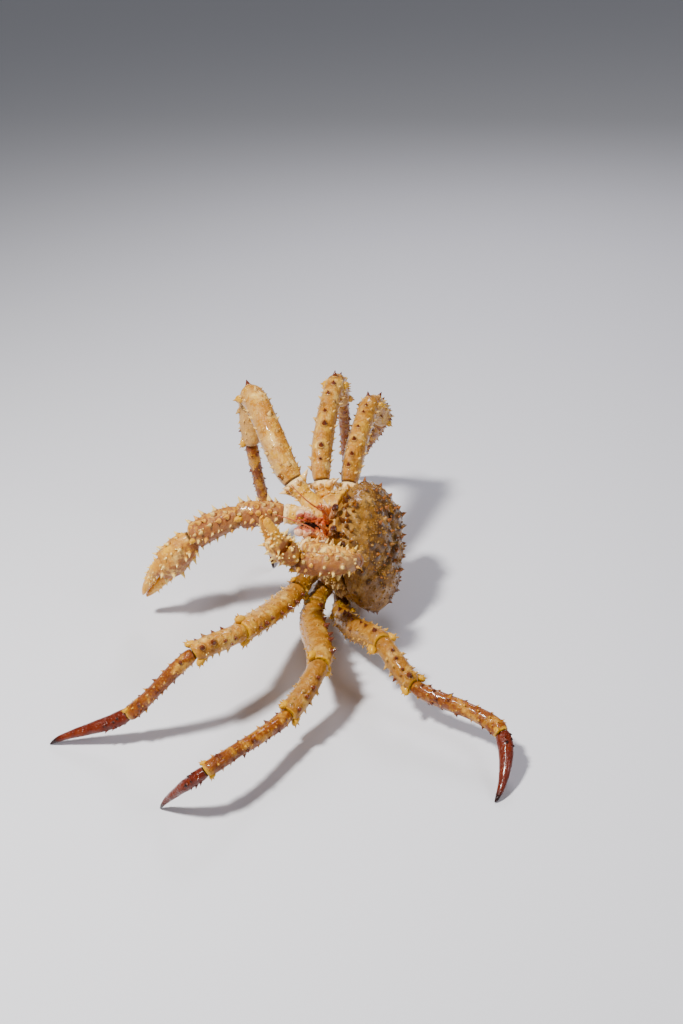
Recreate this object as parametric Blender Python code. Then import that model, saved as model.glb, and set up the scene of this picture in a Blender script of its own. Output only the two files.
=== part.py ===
"""Red king crab, life size, as a still display model.

The crab rears over onto its left side and stands on the tips of its six
walking legs at z = 0, with both claws held in front of it. Units are metres
and +Z is up. The body is laid out in its own frame, as fractions of the
carapace length: forward, to the crab's left, and up out of its back.
"""
import math
import random

import bmesh
import bpy
from mathutils import Quaternion, Vector

# Driving dimensions
CARAPACE_LENGTH = 0.140
JOINT_GAP = 0.0003
BODY_CENTRE = Vector((0.1139, 0.0007, 0.092))
BODY_HEADING = -131.0
BODY_PITCH = 50.0
BODY_ROLL = -65.0

# Carapace, in fractions of its length: distance of the edge from the middle
# of the back, by the angle from straight ahead
CARAPACE_EDGE = ((0, 0.47), (18, 0.475), (35, 0.455), (55, 0.47), (75, 0.505), (95, 0.54),
                 (115, 0.55), (135, 0.525), (155, 0.485), (180, 0.455))
CARAPACE_EDGE_HEIGHT = -0.035
CARAPACE_FLOOR = -0.12
CARAPACE_DOME = 0.20
CARAPACE_SIDES = 44
CARAPACE_RINGS = (0.995, 0.96, 0.90, 0.82, 0.72, 0.61, 0.50, 0.38, 0.25, 0.12)
CARAPACE_SPINE_PITCH = 0.108
CARAPACE_SPINE_HEIGHT = 0.040
EDGE_SPINES = 22

# Underside of the body: height, front, back and half width of each level
THORAX_LEVELS = ((-0.22, 0.43, -0.39, 0.43), (-0.32, 0.42, -0.36, 0.39),
                 (-0.40, 0.38, -0.30, 0.32), (-0.46, 0.30, -0.20, 0.22))
THORAX_SIDES = 28

# Walking legs: segment lengths in carapace lengths
LEG_LENGTHS = {
    "front": {"merus": 0.90, "carpus": 0.43, "propodus": 0.75, "dactylus": 0.50},
    "middle": {"merus": 0.957, "carpus": 0.45, "propodus": 0.80, "dactylus": 0.515},
    "back": {"merus": 0.871, "carpus": 0.414, "propodus": 0.743, "dactylus": 0.493},
    "left_front": {"merus": 0.90, "carpus": 0.43, "propodus": 0.68, "dactylus": 0.66},
}
# Where each leg leaves the underside, for the crab's left side
LEG_ROOTS = {"front": (0.19, 0.19, -0.36), "middle": (-0.02, 0.23, -0.35), "back": (-0.21, 0.21, -0.34)}
# Where each leg's first long segment starts
MERUS_STARTS = {
    "right_front": (0.45, -0.42, -0.52), "right_middle": (0.24, -0.50, -0.38), "right_back": (-0.03, -0.58, -0.27),
    "left_front": (0.26, 0.44, -0.50), "left_middle": (0.12, 0.54, -0.42), "left_back": (-0.10, 0.55, -0.27),
}
# Azimuth from +X and elevation of each segment in degrees; the last segment
# has an azimuth alone, and slopes down to reach the floor
LEG_POSES = {
    "right_front": {"merus": (115, 30), "carpus": (180, -86), "propodus": (50, -83), "dactylus": -84},
    "right_middle": {"merus": (78, 31), "carpus": (82, -42), "propodus": (88, -65), "dactylus": 95},
    "right_back": {"merus": (72, 24), "carpus": (70, -43), "propodus": (115, -49), "dactylus": 110},
    "left_front": {"merus": (-117, 12), "carpus": (-138, 5), "propodus": (-172, -40), "dactylus": 178},
    "left_middle": {"merus": (-88, 8), "carpus": (-123, -18), "propodus": (-132, 4), "dactylus": 168},
    "left_back": {"merus": (-70, 17), "carpus": (-60, -19), "propodus": (-41, -6), "dactylus": -104},
}
# Half depth, in the plane the leg bends in, and half width of each segment
SEGMENT_SIZES = {
    "coxa": (0.0120, 0.0112), "merus": (0.0152, 0.0122), "broad_merus": (0.0158, 0.0150),
    "carpus": (0.0124, 0.0106), "propodus": (0.0090, 0.0077), "dactylus": (0.0084, 0.0066),
    "claw_coxa": (0.0112, 0.0112), "claw_merus": (0.0150, 0.0125), "claw_carpus": (0.0150, 0.0135),
    "palm": (0.0188, 0.0155), "finger": (0.0066, 0.0062),
}
# The leg whose first long segment is the broadest
BROAD_LEG = "right_front"
# Swelling of each segment from its near end to its far end
SEGMENT_PROFILES = {
    "coxa": ((0, 0.95), (0.3, 1.0), (0.62, 0.92), (0.80, 1.04), (1, 0.88)),
    "merus": ((0, 0.74), (0.07, 0.88), (0.3, 1.0), (0.6, 0.97), (0.8, 0.98), (0.93, 1.0), (1, 0.86)),
    "broad_merus": ((0, 0.70), (0.07, 0.86), (0.3, 1.0), (0.6, 0.97), (0.8, 0.96), (0.93, 0.94), (1, 0.80)),
    "carpus": ((0, 0.76), (0.12, 0.90), (0.32, 0.98), (0.6, 1.02), (0.85, 1.0), (0.95, 0.94), (1, 0.80)),
    "propodus": ((0, 0.84), (0.1, 1.0), (0.35, 0.98), (0.65, 0.90), (0.9, 0.98), (1, 0.84)),
    "dactylus": ((0, 0.84), (0.12, 1.0), (0.34, 0.86), (0.58, 0.64), (0.8, 0.42), (0.94, 0.28), (1, 0.24)),
    "claw_coxa": ((0, 0.9), (0.4, 1.0), (0.8, 1.02), (1, 0.84)),
    "claw_merus": ((0, 0.72), (0.2, 0.90), (0.55, 1.0), (0.85, 1.04), (1, 0.84)),
    "claw_carpus": ((0, 0.62), (0.2, 0.80), (0.5, 1.04), (0.85, 1.0), (1, 0.78)),
}
LEG_SIDES = 10
# Knobs on both sides of a knee: place along the segment, height and radius
KNEE_KNOBS = {"merus": (0.93, 0.0056, 0.0036), "broad_merus": (0.93, 0.0056, 0.0036), "carpus": (0.91, 0.0046, 0.0030)}

# Claws, in the body frame: root, merus start, elbow, wrist, end of the palm
# and tip of the fingers
RIGHT_CLAW = ((0.36, -0.11, -0.36), (0.50, -0.12, -0.55), (0.62, -0.09, -0.89),
              (0.65, 0.06, -1.28), (0.56, 0.27, -1.60), (0.40, 0.40, -1.88))
LEFT_CLAW = ((0.36, 0.11, -0.36), (0.49, 0.20, -0.30), (0.57, 0.39, 0.13),
             (0.89, 0.47, -0.18), (1.11, 0.40, -0.22), (1.33, 0.31, -0.21))
RIGHT_CLAW_SCALE = 1.0
LEFT_CLAW_SCALE = 0.86
# Swelling along the palm and along a finger; how far the fingers bow apart
# and then close, in finger depths, and half the gap between them
PALM_PROFILE = ((0.0, 0.60), (0.14, 0.84), (0.36, 1.0), (0.66, 1.02), (0.88, 0.96), (1.0, 0.86))
FINGER_PROFILE = ((0.0, 1.0), (0.3, 0.95), (0.6, 0.74), (0.85, 0.46), (1.0, 0.20))
FINGER_LIFT = 1.15
FINGER_BOW = 0.10
FINGER_CLOSE = 0.85
FINGER_HALF_GAP = 0.0007
FIXED_FINGER_SUNK = 0.006
PALM_SPINE_HEIGHT = 0.0062

# Head, for the crab's left side: places of each small limb and its radii
EYE_ROOT = (0.405, 0.075, -0.168)
EYE_TIP = (0.545, 0.09, -0.062)
EYE_RADIUS = 0.0042
EYE_SHARES = (0, 0.55, 0.75, 0.92, 1.04, 1.12)
EYE_RADII = (0.0026, 0.0028, EYE_RADIUS * 0.86, EYE_RADIUS, EYE_RADIUS * 0.82, EYE_RADIUS * 0.38)
ANTENNA_ROOT = (0.39, 0.135, -0.19)
ANTENNA_BEND = (0.56, 0.10, -0.21)
ANTENNA_TIPS = {"right": (0.86, -0.17, -0.29), "left": (0.84, 0.05, -0.42)}
ANTENNA_RADII = (0.0040, 0.0040, 0.0030, 0.0011, 0.0009, 0.0007, 0.0006, 0.0004)
# Spikes at the feeler's base: place, direction and height
ANTENNA_SPIKES = (((0.475, 0.134, -0.195), (1.0, 0.45, 0.1), 0.0095), ((0.475, 0.119, -0.178), (1.0, 0.1, 0.6), 0.0075))
ANTENNULE_ROOT = (0.40, 0.035, -0.20)
ANTENNULE_TIP = (0.66, 0.07, -0.14)
ANTENNULE_SHARES = (0, 0.4, 0.62, 0.72, 1.0)
ANTENNULE_RADII = (0.0019, 0.0018, 0.0016, 0.0010, 0.0004)
MAXILLIPED_LINE = ((0.38, 0.065, -0.29), (0.44, 0.062, -0.30), (0.505, 0.075, -0.335), (0.535, 0.075, -0.368),
                   (0.53, 0.062, -0.395), (0.50, 0.045, -0.415))
MAXILLIPED_RADII = (0.0027, 0.0034, 0.0055, 0.0052, 0.0036, 0.0016)
JAW_LINE = ((0.385, 0.060, -0.235), (0.400, 0.038, -0.238), (0.412, 0.012, -0.242))
JAW_RADII = (0.0032, 0.0034, 0.0018)
# The upright slit of the mouth: middle and half sizes
MOUTH_PLACE = (0.43, 0.0, -0.31)
MOUTH_SIZE = (0.085, 0.048, 0.10)
# Spines over the eyes: place, lean to the side and upwards, and height
BROW_SPINES = ((0.450, 0.040, 0.000, 0.30, 0.35, 0.0085), (0.435, 0.172, -0.030, 0.20, 0.15, 0.0095),
               (0.445, 0.125, -0.015, 0.15, 0.65, 0.0075), (0.425, 0.225, -0.025, 0.30, 0.30, 0.0060),
               (0.420, 0.085, 0.020, 0.10, 1.00, 0.0075), (0.410, 0.160, 0.015, 0.15, 1.10, 0.0070))

# Tail flap: distance ahead, half width, depth and height of each station
ABDOMEN_STATIONS = ((-0.40, 0.16, 0.07, -0.24), (-0.41, 0.20, 0.09, -0.33), (-0.36, 0.22, 0.10, -0.44),
                    (-0.24, 0.20, 0.085, -0.52), (-0.08, 0.15, 0.06, -0.545), (0.06, 0.08, 0.035, -0.53))
ABDOMEN_SIDES = 14

# Colours from the wet shell, as linear red, green and blue
COLOURS = {
    "shell": ((0.42, 0.23, 0.07), 0.35),
    "claw_shell": ((0.40, 0.21, 0.12), 0.35),
    "underside": ((0.62, 0.45, 0.18), 0.40),
    "leg_tip": ((0.14, 0.03, 0.01), 0.30),
    "mouthparts": ((0.50, 0.10, 0.03), 0.35),
    "eye": ((0.02, 0.01, 0.01), 0.12),
}

SEED = 11


def clear_scene():
    """Remove whatever the new file starts with."""
    for obj in list(bpy.data.objects):
        bpy.data.objects.remove(obj, do_unlink=True)


def shell_material(name):
    """One glossy material with the colour and roughness listed above."""
    colour, roughness = COLOURS[name]
    material = bpy.data.materials.get(name) or bpy.data.materials.new(name)
    material.use_nodes = True
    shader = material.node_tree.nodes["Principled BSDF"]
    shader.inputs["Base Color"].default_value = (*colour, 1.0)
    shader.inputs["Roughness"].default_value = roughness
    shader.inputs["Metallic"].default_value = 0.0
    return material


def add_object(name, mesh_data, material_name, collection):
    """Put a bmesh in the scene as one named object."""
    mesh = bpy.data.meshes.new(name)
    mesh_data.to_mesh(mesh)
    mesh_data.free()
    mesh.materials.append(shell_material(material_name))
    obj = bpy.data.objects.new(name, mesh)
    collection.objects.link(obj)
    return obj


def turned(vector, axis, degrees):
    """A vector turned about an axis."""
    return Quaternion(axis, math.radians(degrees)) @ vector


def direction(azimuth, elevation):
    """Unit vector from an azimuth and an elevation in degrees."""
    around, rise = math.radians(azimuth), math.radians(elevation)
    return Vector((math.cos(rise) * math.cos(around), math.cos(rise) * math.sin(around), math.sin(rise)))


def body_axes():
    """The body's forward, left and up directions in the world."""
    forward = direction(BODY_HEADING, BODY_PITCH)
    level_left = Vector((0, 0, 1)).cross(forward).normalized()
    level_up = forward.cross(level_left)
    roll = math.radians(BODY_ROLL)
    left = math.cos(roll) * level_left + math.sin(roll) * level_up
    return forward, left, forward.cross(left)


FORWARD, LEFT, UP = body_axes()


def on_body(point, side=1):
    """World place of a point in the body frame; side -1 mirrors it."""
    ahead, left, up = point
    return BODY_CENTRE + CARAPACE_LENGTH * (ahead * FORWARD + side * left * LEFT + up * UP)


def across(vector, axis):
    """The part of a vector square to an axis, at unit length."""
    return (vector - vector.dot(axis) * axis).normalized()


def joint_normal(incoming, outgoing, limit=58.0):
    """Facing of a joint: halfway between two segments, within a limit."""
    turn = incoming.angle(outgoing)
    if turn < 1e-4:
        return incoming.copy()
    hinge = incoming.cross(outgoing).normalized()
    return turned(incoming, hinge, min(math.degrees(turn) / 2, limit)).normalized()


class Tube:
    """A limb segment: oval rings along a smooth curve between two joints."""

    def __init__(self, start, end, hinges, kind, scale=1.0, grow=0.0, pull=(0.55, 0.55)):
        (self.start, self.start_way), (self.end, self.end_way) = start, end
        self.start = self.start - self.start_way * grow
        self.hinges = hinges
        self.profile = SEGMENT_PROFILES[kind]
        self.half_depth = SEGMENT_SIZES[kind][0] * scale + grow
        self.half_width = SEGMENT_SIZES[kind][1] * scale + grow
        span = (self.end - self.start).length
        self.start_pull = self.start_way * span * pull[0] * 1.5
        self.end_pull = self.end_way * span * pull[1] * 1.5

    def centre(self, t):
        """Point on the middle line."""
        t2, t3 = t * t, t * t * t
        return ((2 * t3 - 3 * t2 + 1) * self.start + (t3 - 2 * t2 + t) * self.start_pull
                + (3 * t2 - 2 * t3) * self.end + (t3 - t2) * self.end_pull)

    def along(self, t):
        """Direction of the middle line."""
        t2 = t * t
        way = ((6 * t2 - 6 * t) * (self.start - self.end) + (3 * t2 - 4 * t + 1) * self.start_pull
               + (3 * t2 - 2 * t) * self.end_pull)
        return way.normalized()

    def swelling(self, t):
        """Size of the section at t, relative to the segment's own size."""
        for (t0, s0), (t1, s1) in zip(self.profile, self.profile[1:]):
            if t <= t1:
                return s0 + (s1 - s0) * (t - t0) / (t1 - t0)
        return self.profile[-1][1]

    def frame(self, t):
        """Outward and sideways directions of the section at t."""
        way = self.along(t)
        side = across(self.hinges[0].lerp(self.hinges[1], t), way)
        return way.cross(side), side

    def surface(self, t, angle):
        """Point on the skin and its outward normal, at an angle from the outer side."""
        outer, side = self.frame(t)
        swell = self.swelling(t)
        turn = math.radians(angle)
        depth, width = self.half_depth * swell, self.half_width * swell
        point = self.centre(t) + math.cos(turn) * depth * outer + math.sin(turn) * width * side
        normal = (math.cos(turn) / depth * outer + math.sin(turn) / width * side).normalized()
        return point, normal

    def mesh(self, sides=LEG_SIDES):
        """Closed mesh of the segment."""
        rings = []
        for t, _ in self.profile:
            rings.append([self.surface(t, 360 * (k + 0.5) / sides)[0] for k in range(sides)])
        return loft(rings)


def loft(rings, closed_top=None):
    """Closed mesh through a list of equal rings, ending in flat caps or a point."""
    data = bmesh.new()
    loops = [[data.verts.new(point) for point in ring] for ring in rings]
    count = len(loops[0])
    for lower, upper in zip(loops, loops[1:]):
        for k in range(count):
            n = (k + 1) % count
            data.faces.new((lower[k], lower[n], upper[n], upper[k]))
    data.faces.new(list(reversed(loops[0])))
    if closed_top is None:
        data.faces.new(loops[-1])
    else:
        peak = data.verts.new(closed_top)
        for k in range(count):
            data.faces.new((loops[-1][k], loops[-1][(k + 1) % count], peak))
    bmesh.ops.triangulate(data, faces=data.faces[:])
    bmesh.ops.recalc_face_normals(data, faces=data.faces[:])
    return data


def spine(base, way, height, radius, sides=4):
    """One pointed cone, its root sunk into the surface it stands on."""
    data = bmesh.new()
    sunk = 0.3 * height
    bmesh.ops.create_cone(data, cap_ends=True, segments=sides, radius1=radius, radius2=0.0,
                          depth=height + sunk)
    turn = Vector((0, 0, 1)).rotation_difference(way).to_matrix()
    middle = base + way * ((height - sunk) / 2)
    for vert in data.verts:
        vert.co = turn @ vert.co + middle
    return data


def largest_piece(mesh):
    """Keep only the largest closed surface of a mesh."""
    data = bmesh.new()
    data.from_mesh(mesh)
    left = set(data.faces)
    pieces = []
    while left:
        piece, waiting = set(), [left.pop()]
        while waiting:
            face = waiting.pop()
            piece.add(face)
            for edge in face.edges:
                for other in edge.link_faces:
                    if other in left:
                        left.discard(other)
                        waiting.append(other)
        pieces.append(piece)
    pieces.sort(key=lambda faces: sum(face.calc_area() for face in faces))
    stray = [face for piece in pieces[:-1] for face in piece]
    bmesh.ops.delete(data, geom=stray, context="FACES")
    data.to_mesh(mesh)
    data.free()


def combine(body, pieces, operation, solver="EXACT"):
    """Join or cut a body with a collection of closed pieces, then remove them."""
    if not pieces:
        return body
    group = bpy.data.collections.new(body.name + "_pieces")
    bpy.context.scene.collection.children.link(group)
    for number, data in enumerate(pieces):
        mesh = bpy.data.meshes.new(f"{body.name}_piece_{number}")
        data.to_mesh(mesh)
        data.free()
        helper = bpy.data.objects.new(mesh.name, mesh)
        helper.hide_render = True
        helper.display_type = "WIRE"
        group.objects.link(helper)
    modifier = body.modifiers.new("combine", "BOOLEAN")
    modifier.operation = operation
    modifier.operand_type = "COLLECTION"
    modifier.collection = group
    modifier.solver = solver
    bpy.context.view_layer.objects.active = body
    with bpy.context.temp_override(object=body, active_object=body, selected_objects=[body]):
        bpy.ops.object.modifier_apply(modifier=modifier.name)
    for helper in list(group.objects):
        bpy.data.objects.remove(helper, do_unlink=True)
    bpy.data.collections.remove(group)
    largest_piece(body.data)
    return body


def leaning(normal, way, degrees):
    """A surface normal tipped towards a direction along the surface."""
    lean = math.radians(degrees)
    return (math.cos(lean) * normal + math.sin(lean) * across(way, normal)).normalized()


def spine_rows(tube, rows, count, span, height, rng, lean=22.0):
    """Rows of spines along a segment, at the given angles round it."""
    cones = []
    for row, angle in enumerate(rows):
        for k in range(count):
            share = (k + 0.5 * (row % 2) + 0.25) / count
            t = span[0] + (span[1] - span[0]) * share + rng.uniform(-0.015, 0.015)
            point, normal = tube.surface(t, angle + rng.uniform(-8, 8))
            size = height * rng.uniform(0.75, 1.2)
            way = leaning(normal, tube.along(t), lean)
            cones.append(spine(point, way, size, 0.42 * size))
    return cones


def knee_knobs(tube, kind):
    """A blunt knob on each side of a segment's far end."""
    share, height, radius = KNEE_KNOBS[kind]
    cones = []
    for angle in (90, -90):
        point, normal = tube.surface(share, angle)
        cones.append(spine(point, leaning(normal, tube.along(share), 32), height, radius, 6))
    return cones


def limb_joints(ways):
    """Facing and hinge direction of each joint along a limb."""
    facings = [ways[0]]
    for incoming, outgoing in zip(ways, ways[1:]):
        facings.append(joint_normal(incoming, outgoing))
    hinges = []
    knee = ways[1].cross(ways[2]).normalized()
    for number, facing in enumerate(facings):
        bend = knee * 0.4
        if 2 <= number < len(ways):
            cross = ways[number - 1].cross(ways[number])
            bend = cross + knee * 0.4 if cross.dot(knee) > 0 else knee * 0.4
        elif number < 2:
            bend = knee
        hinges.append(across(bend, facing))
    hinges.append(across(hinges[-1], ways[-1]))
    return facings, hinges


def leg(name, collection, rng):
    """The five nodes of one walking leg, from its root to the floor."""
    side_name, place = name.split("_")
    side = 1 if side_name == "left" else -1
    lengths, pose = LEG_LENGTHS.get(name, LEG_LENGTHS[place]), LEG_POSES[name]
    root = on_body(LEG_ROOTS[place], side)
    points = [root, on_body(MERUS_STARTS[name])]
    for segment in ("merus", "carpus", "propodus"):
        step = direction(*pose[segment]) * lengths[segment] * CARAPACE_LENGTH
        points.append(points[-1] + step)
    reach = lengths["dactylus"] * CARAPACE_LENGTH
    slope = -math.degrees(math.asin(min(0.98, points[-1].z / reach)))
    points.append(points[-1] + direction(pose["dactylus"], slope) * reach)
    points[-1].z = 0.0
    ways = [(b - a).normalized() for a, b in zip(points, points[1:])]
    facings, hinges = limb_joints(ways)
    facings.append(Vector((0, 0, -1)))

    def tube(number, kind, pull, grow=0.0):
        """The segment between two of the leg's joints."""
        near = points[number] + facings[number] * (JOINT_GAP / 2 if number else 0.0)
        last = number + 1 == len(points) - 1
        far = points[number + 1] - facings[number + 1] * (0.0 if last else JOINT_GAP / 2)
        ends = (near, facings[number]), (far, facings[number + 1])
        return Tube(*ends, (hinges[number], hinges[number + 1]), kind, grow=grow, pull=pull)

    coxa = tube(0, "coxa", (0.5, 0.5))
    merus_kind = "broad_merus" if name == BROAD_LEG else "merus"
    merus = tube(1, merus_kind, (0.6, 0.42))
    carpus = tube(2, "carpus", (0.66, 0.5))
    propodus = tube(3, "propodus", (0.5, 0.5))
    dactylus = tube(4, "dactylus", (0.62, 0.62))
    nodes = (
        ("coxa", coxa, "underside", ()),
        ("merus", merus, "shell", spine_rows(merus, (0, 60, -60, 115, -115), 5, (0.10, 0.88), 0.0046, rng)
         + knee_knobs(merus, merus_kind)),
        ("carpus", carpus, "shell", spine_rows(carpus, (0, 70, -70), 3, (0.30, 0.88), 0.0044, rng)
         + knee_knobs(carpus, "carpus")),
        ("propodus", propodus, "shell", spine_rows(propodus, (0, 90, -90, 170), 4, (0.12, 0.88), 0.0032, rng)),
        ("dactylus", dactylus, "leg_tip", spine_rows(dactylus, (35, -35), 2, (0.12, 0.34), 0.0028, rng)),
    )
    for part, shape, material, cones in nodes:
        body = add_object(f"{name}_{part}", shape.mesh(), material, collection)
        combine(body, cones, "UNION")
    return tube(0, "coxa", (0.5, 0.5), grow=JOINT_GAP).mesh()


def claw(name, collection, rng):
    """The five nodes of one claw arm: coxa, merus, carpus, palm and finger."""
    places, scale = (RIGHT_CLAW, RIGHT_CLAW_SCALE) if name == "right" else (LEFT_CLAW, LEFT_CLAW_SCALE)
    points = [on_body(place) for place in places]
    ways = [(b - a).normalized() for a, b in zip(points, points[1:])]
    facings, hinges = limb_joints(ways)

    def tube(number, kind, pull, grow=0.0):
        """The segment between two of the arm's joints."""
        near = points[number] + facings[number] * (JOINT_GAP / 2 if number else 0.0)
        far = points[number + 1] - facings[number + 1] * JOINT_GAP / 2
        ends = (near, facings[number]), (far, facings[number + 1])
        return Tube(*ends, (hinges[number], hinges[number + 1]), kind, scale, grow, pull)

    coxa = tube(0, "claw_coxa", (0.5, 0.5))
    merus = tube(1, "claw_merus", (0.6, 0.5))
    carpus = tube(2, "claw_carpus", (0.85, 0.5))
    for part, shape, material, rows, height in (
            ("coxa", coxa, "underside", (), 0.004),
            ("merus", merus, "claw_shell", (0, 60, -60, 120, -120), 0.0062),
            ("carpus", carpus, "claw_shell", (0, 50, -50, 100, -100), 0.0070)):
        body = add_object(f"{name}_claw_{part}", shape.mesh(), material, collection)
        combine(body, spine_rows(shape, rows, 3, (0.22, 0.88), height * scale, rng), "UNION")
    hand(name, points, ways, facings, hinges, scale, collection, rng)
    return tube(0, "claw_coxa", (0.5, 0.5), grow=JOINT_GAP).mesh()


def hand(name, points, ways, facings, hinges, scale, collection, rng):
    """The palm with its fixed finger, and the movable finger beside it."""
    wrist, knuckle, tip = points[3:6]
    opening = hinges[4]
    spread = opening.cross(ways[4]).normalized()
    palm_size, finger_size = SEGMENT_SIZES["palm"], SEGMENT_SIZES["finger"]
    facing = facings[3]
    start = wrist + facing * JOINT_GAP / 2
    palm_length = (knuckle - wrist).length
    rings = []
    half_gap = FINGER_HALF_GAP * scale

    def ring(middle, outer, side, depth, width, sides=12):
        """One oval ring of the hand."""
        turns = [2 * math.pi * (k + 0.5) / sides for k in range(sides)]
        return [middle + math.cos(a) * depth * outer + math.sin(a) * width * side for a in turns]

    for share, swell in PALM_PROFILE:
        way = facing.lerp(ways[3], min(1.0, 2 * share)).lerp(ways[4], max(0.0, 2 * share - 1)).normalized()
        outer = across(spread, way)
        side = way.cross(outer)
        middle = start + facing * palm_length * share * (1 - share) * 0.3 + (knuckle - start) * share
        rings.append(ring(middle, outer, side, palm_size[0] * scale * swell, palm_size[1] * scale * swell))
    palm = add_object(f"{name}_claw_palm", loft(rings), "claw_shell", collection)

    def finger(sign, length_share, root_sunk):
        """A tapered finger on one side of the gap between them."""
        outer = across(spread, ways[4]) * sign
        side = ways[4].cross(outer)
        reach = (tip - knuckle).length * length_share
        sections = []
        for share, swell in FINGER_PROFILE:
            bow = math.sin(math.pi * share) * FINGER_BOW - FINGER_CLOSE * share * share
            depth, width = finger_size[0] * scale * swell, finger_size[1] * scale * swell * 1.1
            lift = half_gap + finger_size[0] * scale * (FINGER_LIFT + bow)
            middle = knuckle + ways[4] * (reach * share + (1 - share) * root_sunk) + outer * lift
            sections.append(ring(middle, outer, side, depth, width, 8))
        return loft(sections)

    fixed = finger(-1, 0.96, -FIXED_FINGER_SUNK * scale)
    spikes = []
    for row, angle in enumerate((0, 55, -55, 110, -110, 180)):
        for k in range(3):
            share = 0.2 + 0.26 * k + 0.1 * (row % 2)
            outer = across(spread, ways[3])
            side = ways[3].cross(outer)
            turn = math.radians(angle)
            normal = (math.cos(turn) * outer + math.sin(turn) * side).normalized()
            reach = math.hypot(math.cos(turn) * palm_size[0], math.sin(turn) * palm_size[1]) * scale
            base = start + (knuckle - start) * share + normal * reach * (0.86 if k == 0 else 0.97)
            size = PALM_SPINE_HEIGHT * scale * rng.uniform(0.7, 1.1)
            spikes.append(spine(base, leaning(normal, ways[3], 20), size, 0.42 * size))
    combine(palm, [fixed] + spikes, "UNION")
    slot = [finger_block(knuckle, spread, ways[4], scale, half_gap, tip)]
    combine(palm, slot, "DIFFERENCE")
    add_object(f"{name}_claw_finger", finger(1, 1.0, JOINT_GAP), "claw_shell", collection)


def finger_block(knuckle, spread, way, scale, half_gap, tip):
    """Room for the movable finger: a box on its side of the gap."""
    outer = across(spread, way)
    side = way.cross(outer)
    reach = (tip - knuckle).length * 1.3
    width, height = 0.040 * scale, 0.030
    floor = knuckle + outer * (half_gap * 0.4)
    data = bmesh.new()
    bmesh.ops.create_cube(data, size=1.0)
    for vert in data.verts:
        x, y, z = vert.co
        vert.co = floor + way * reach * (x + 0.5) + side * width * y + outer * height * (z + 0.5)
    bmesh.ops.recalc_face_normals(data, faces=data.faces[:])
    return data


def edge_reach(angle):
    """Distance of the carapace edge at an angle from straight ahead, in degrees."""
    angle = abs((angle + 180) % 360 - 180)
    for (a0, r0), (a1, r1) in zip(CARAPACE_EDGE, CARAPACE_EDGE[1:]):
        if angle <= a1:
            share = (angle - a0) / (a1 - a0)
            return r0 + (r1 - r0) * (1 - math.cos(math.pi * share)) / 2
    return CARAPACE_EDGE[-1][1]


def bump(ahead, left, centre, spread):
    """Smooth swelling of height one."""
    x, y = (ahead - centre[0]) / spread[0], (left - centre[1]) / spread[1]
    return math.exp(-x * x - y * y)


def back_height(ahead, left):
    """Height of the back above the body's middle plane."""
    outward = math.hypot(ahead, left) / edge_reach(math.degrees(math.atan2(left, ahead)))
    outward = min(outward, 1.0)
    dome = CARAPACE_DOME * (1 - outward ** 2.4) ** 0.55
    width = abs(left)
    lobes = (0.050 * bump(ahead, left, (0.19, 0), (0.17, 0.14))
             + 0.036 * bump(ahead, left, (-0.15, 0), (0.11, 0.08))
             + 0.050 * bump(ahead, width, (-0.12, 0.30), (0.18, 0.13)))
    neck = ahead + 0.03 - 1.5 * left * left
    grooves = 0.032 * math.exp(-(neck / 0.035) ** 2)
    grooves += 0.026 * bump(ahead, width, (-0.17, 0.135), (0.14, 0.035))
    return CARAPACE_EDGE_HEIGHT + dome + (lobes - grooves) * (1 - outward ** 3)


def back_point(ahead, left):
    """World point on the back and its outward normal."""
    step = 0.01
    here = Vector((ahead, left, back_height(ahead, left)))
    along = Vector((ahead + step, left, back_height(ahead + step, left))) - here
    sideways = Vector((ahead, left + step, back_height(ahead, left + step))) - here
    slope = along.cross(sideways).normalized()
    return on_body(here), slope.x * FORWARD + slope.y * LEFT + slope.z * UP


def carapace_spines(rng):
    """Spines over the back, round its edge, and the beak between the eyes."""
    cones = []
    rows = int(1.1 / CARAPACE_SPINE_PITCH)
    for row in range(-rows, rows + 1):
        for column in range(-rows, rows + 1):
            ahead = row * CARAPACE_SPINE_PITCH * 0.87 + rng.uniform(-0.014, 0.014) - 0.01
            left = (column + 0.5 * (row % 2)) * CARAPACE_SPINE_PITCH + rng.uniform(-0.014, 0.014)
            angle = math.degrees(math.atan2(left, ahead))
            if math.hypot(ahead, left) > 0.86 * edge_reach(angle):
                continue
            point, normal = back_point(ahead, left)
            size = CARAPACE_SPINE_HEIGHT * CARAPACE_LENGTH * rng.uniform(0.6, 1.15)
            cones.append(spine(point, leaning(normal, FORWARD, 12), size, 0.5 * size))
    for k in range(EDGE_SPINES):
        angle = -158 + 316 * k / (EDGE_SPINES - 1)
        if abs(angle) < 9:
            continue
        reach = edge_reach(angle) * 0.985
        turn = math.radians(angle)
        place = Vector((reach * math.cos(turn), reach * math.sin(turn), CARAPACE_EDGE_HEIGHT))
        outward = (math.cos(turn) * FORWARD + math.sin(turn) * LEFT + 0.15 * UP).normalized()
        size = 0.062 * CARAPACE_LENGTH * rng.uniform(0.75, 1.15)
        cones.append(spine(on_body(place), outward, size, 0.42 * size))
    beak_way = (FORWARD + 0.25 * UP).normalized()
    cones.append(spine(on_body((0.44, 0, -0.01)), beak_way, 0.13 * CARAPACE_LENGTH, 0.0052, 6))
    for side in (-1, 1):
        for ahead, out, height, lean, rise, size in BROW_SPINES:
            way = (FORWARD + lean * side * LEFT + rise * UP).normalized()
            cones.append(spine(on_body((ahead, out, height), side), way, size, 0.34 * size))
    return cones


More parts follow.
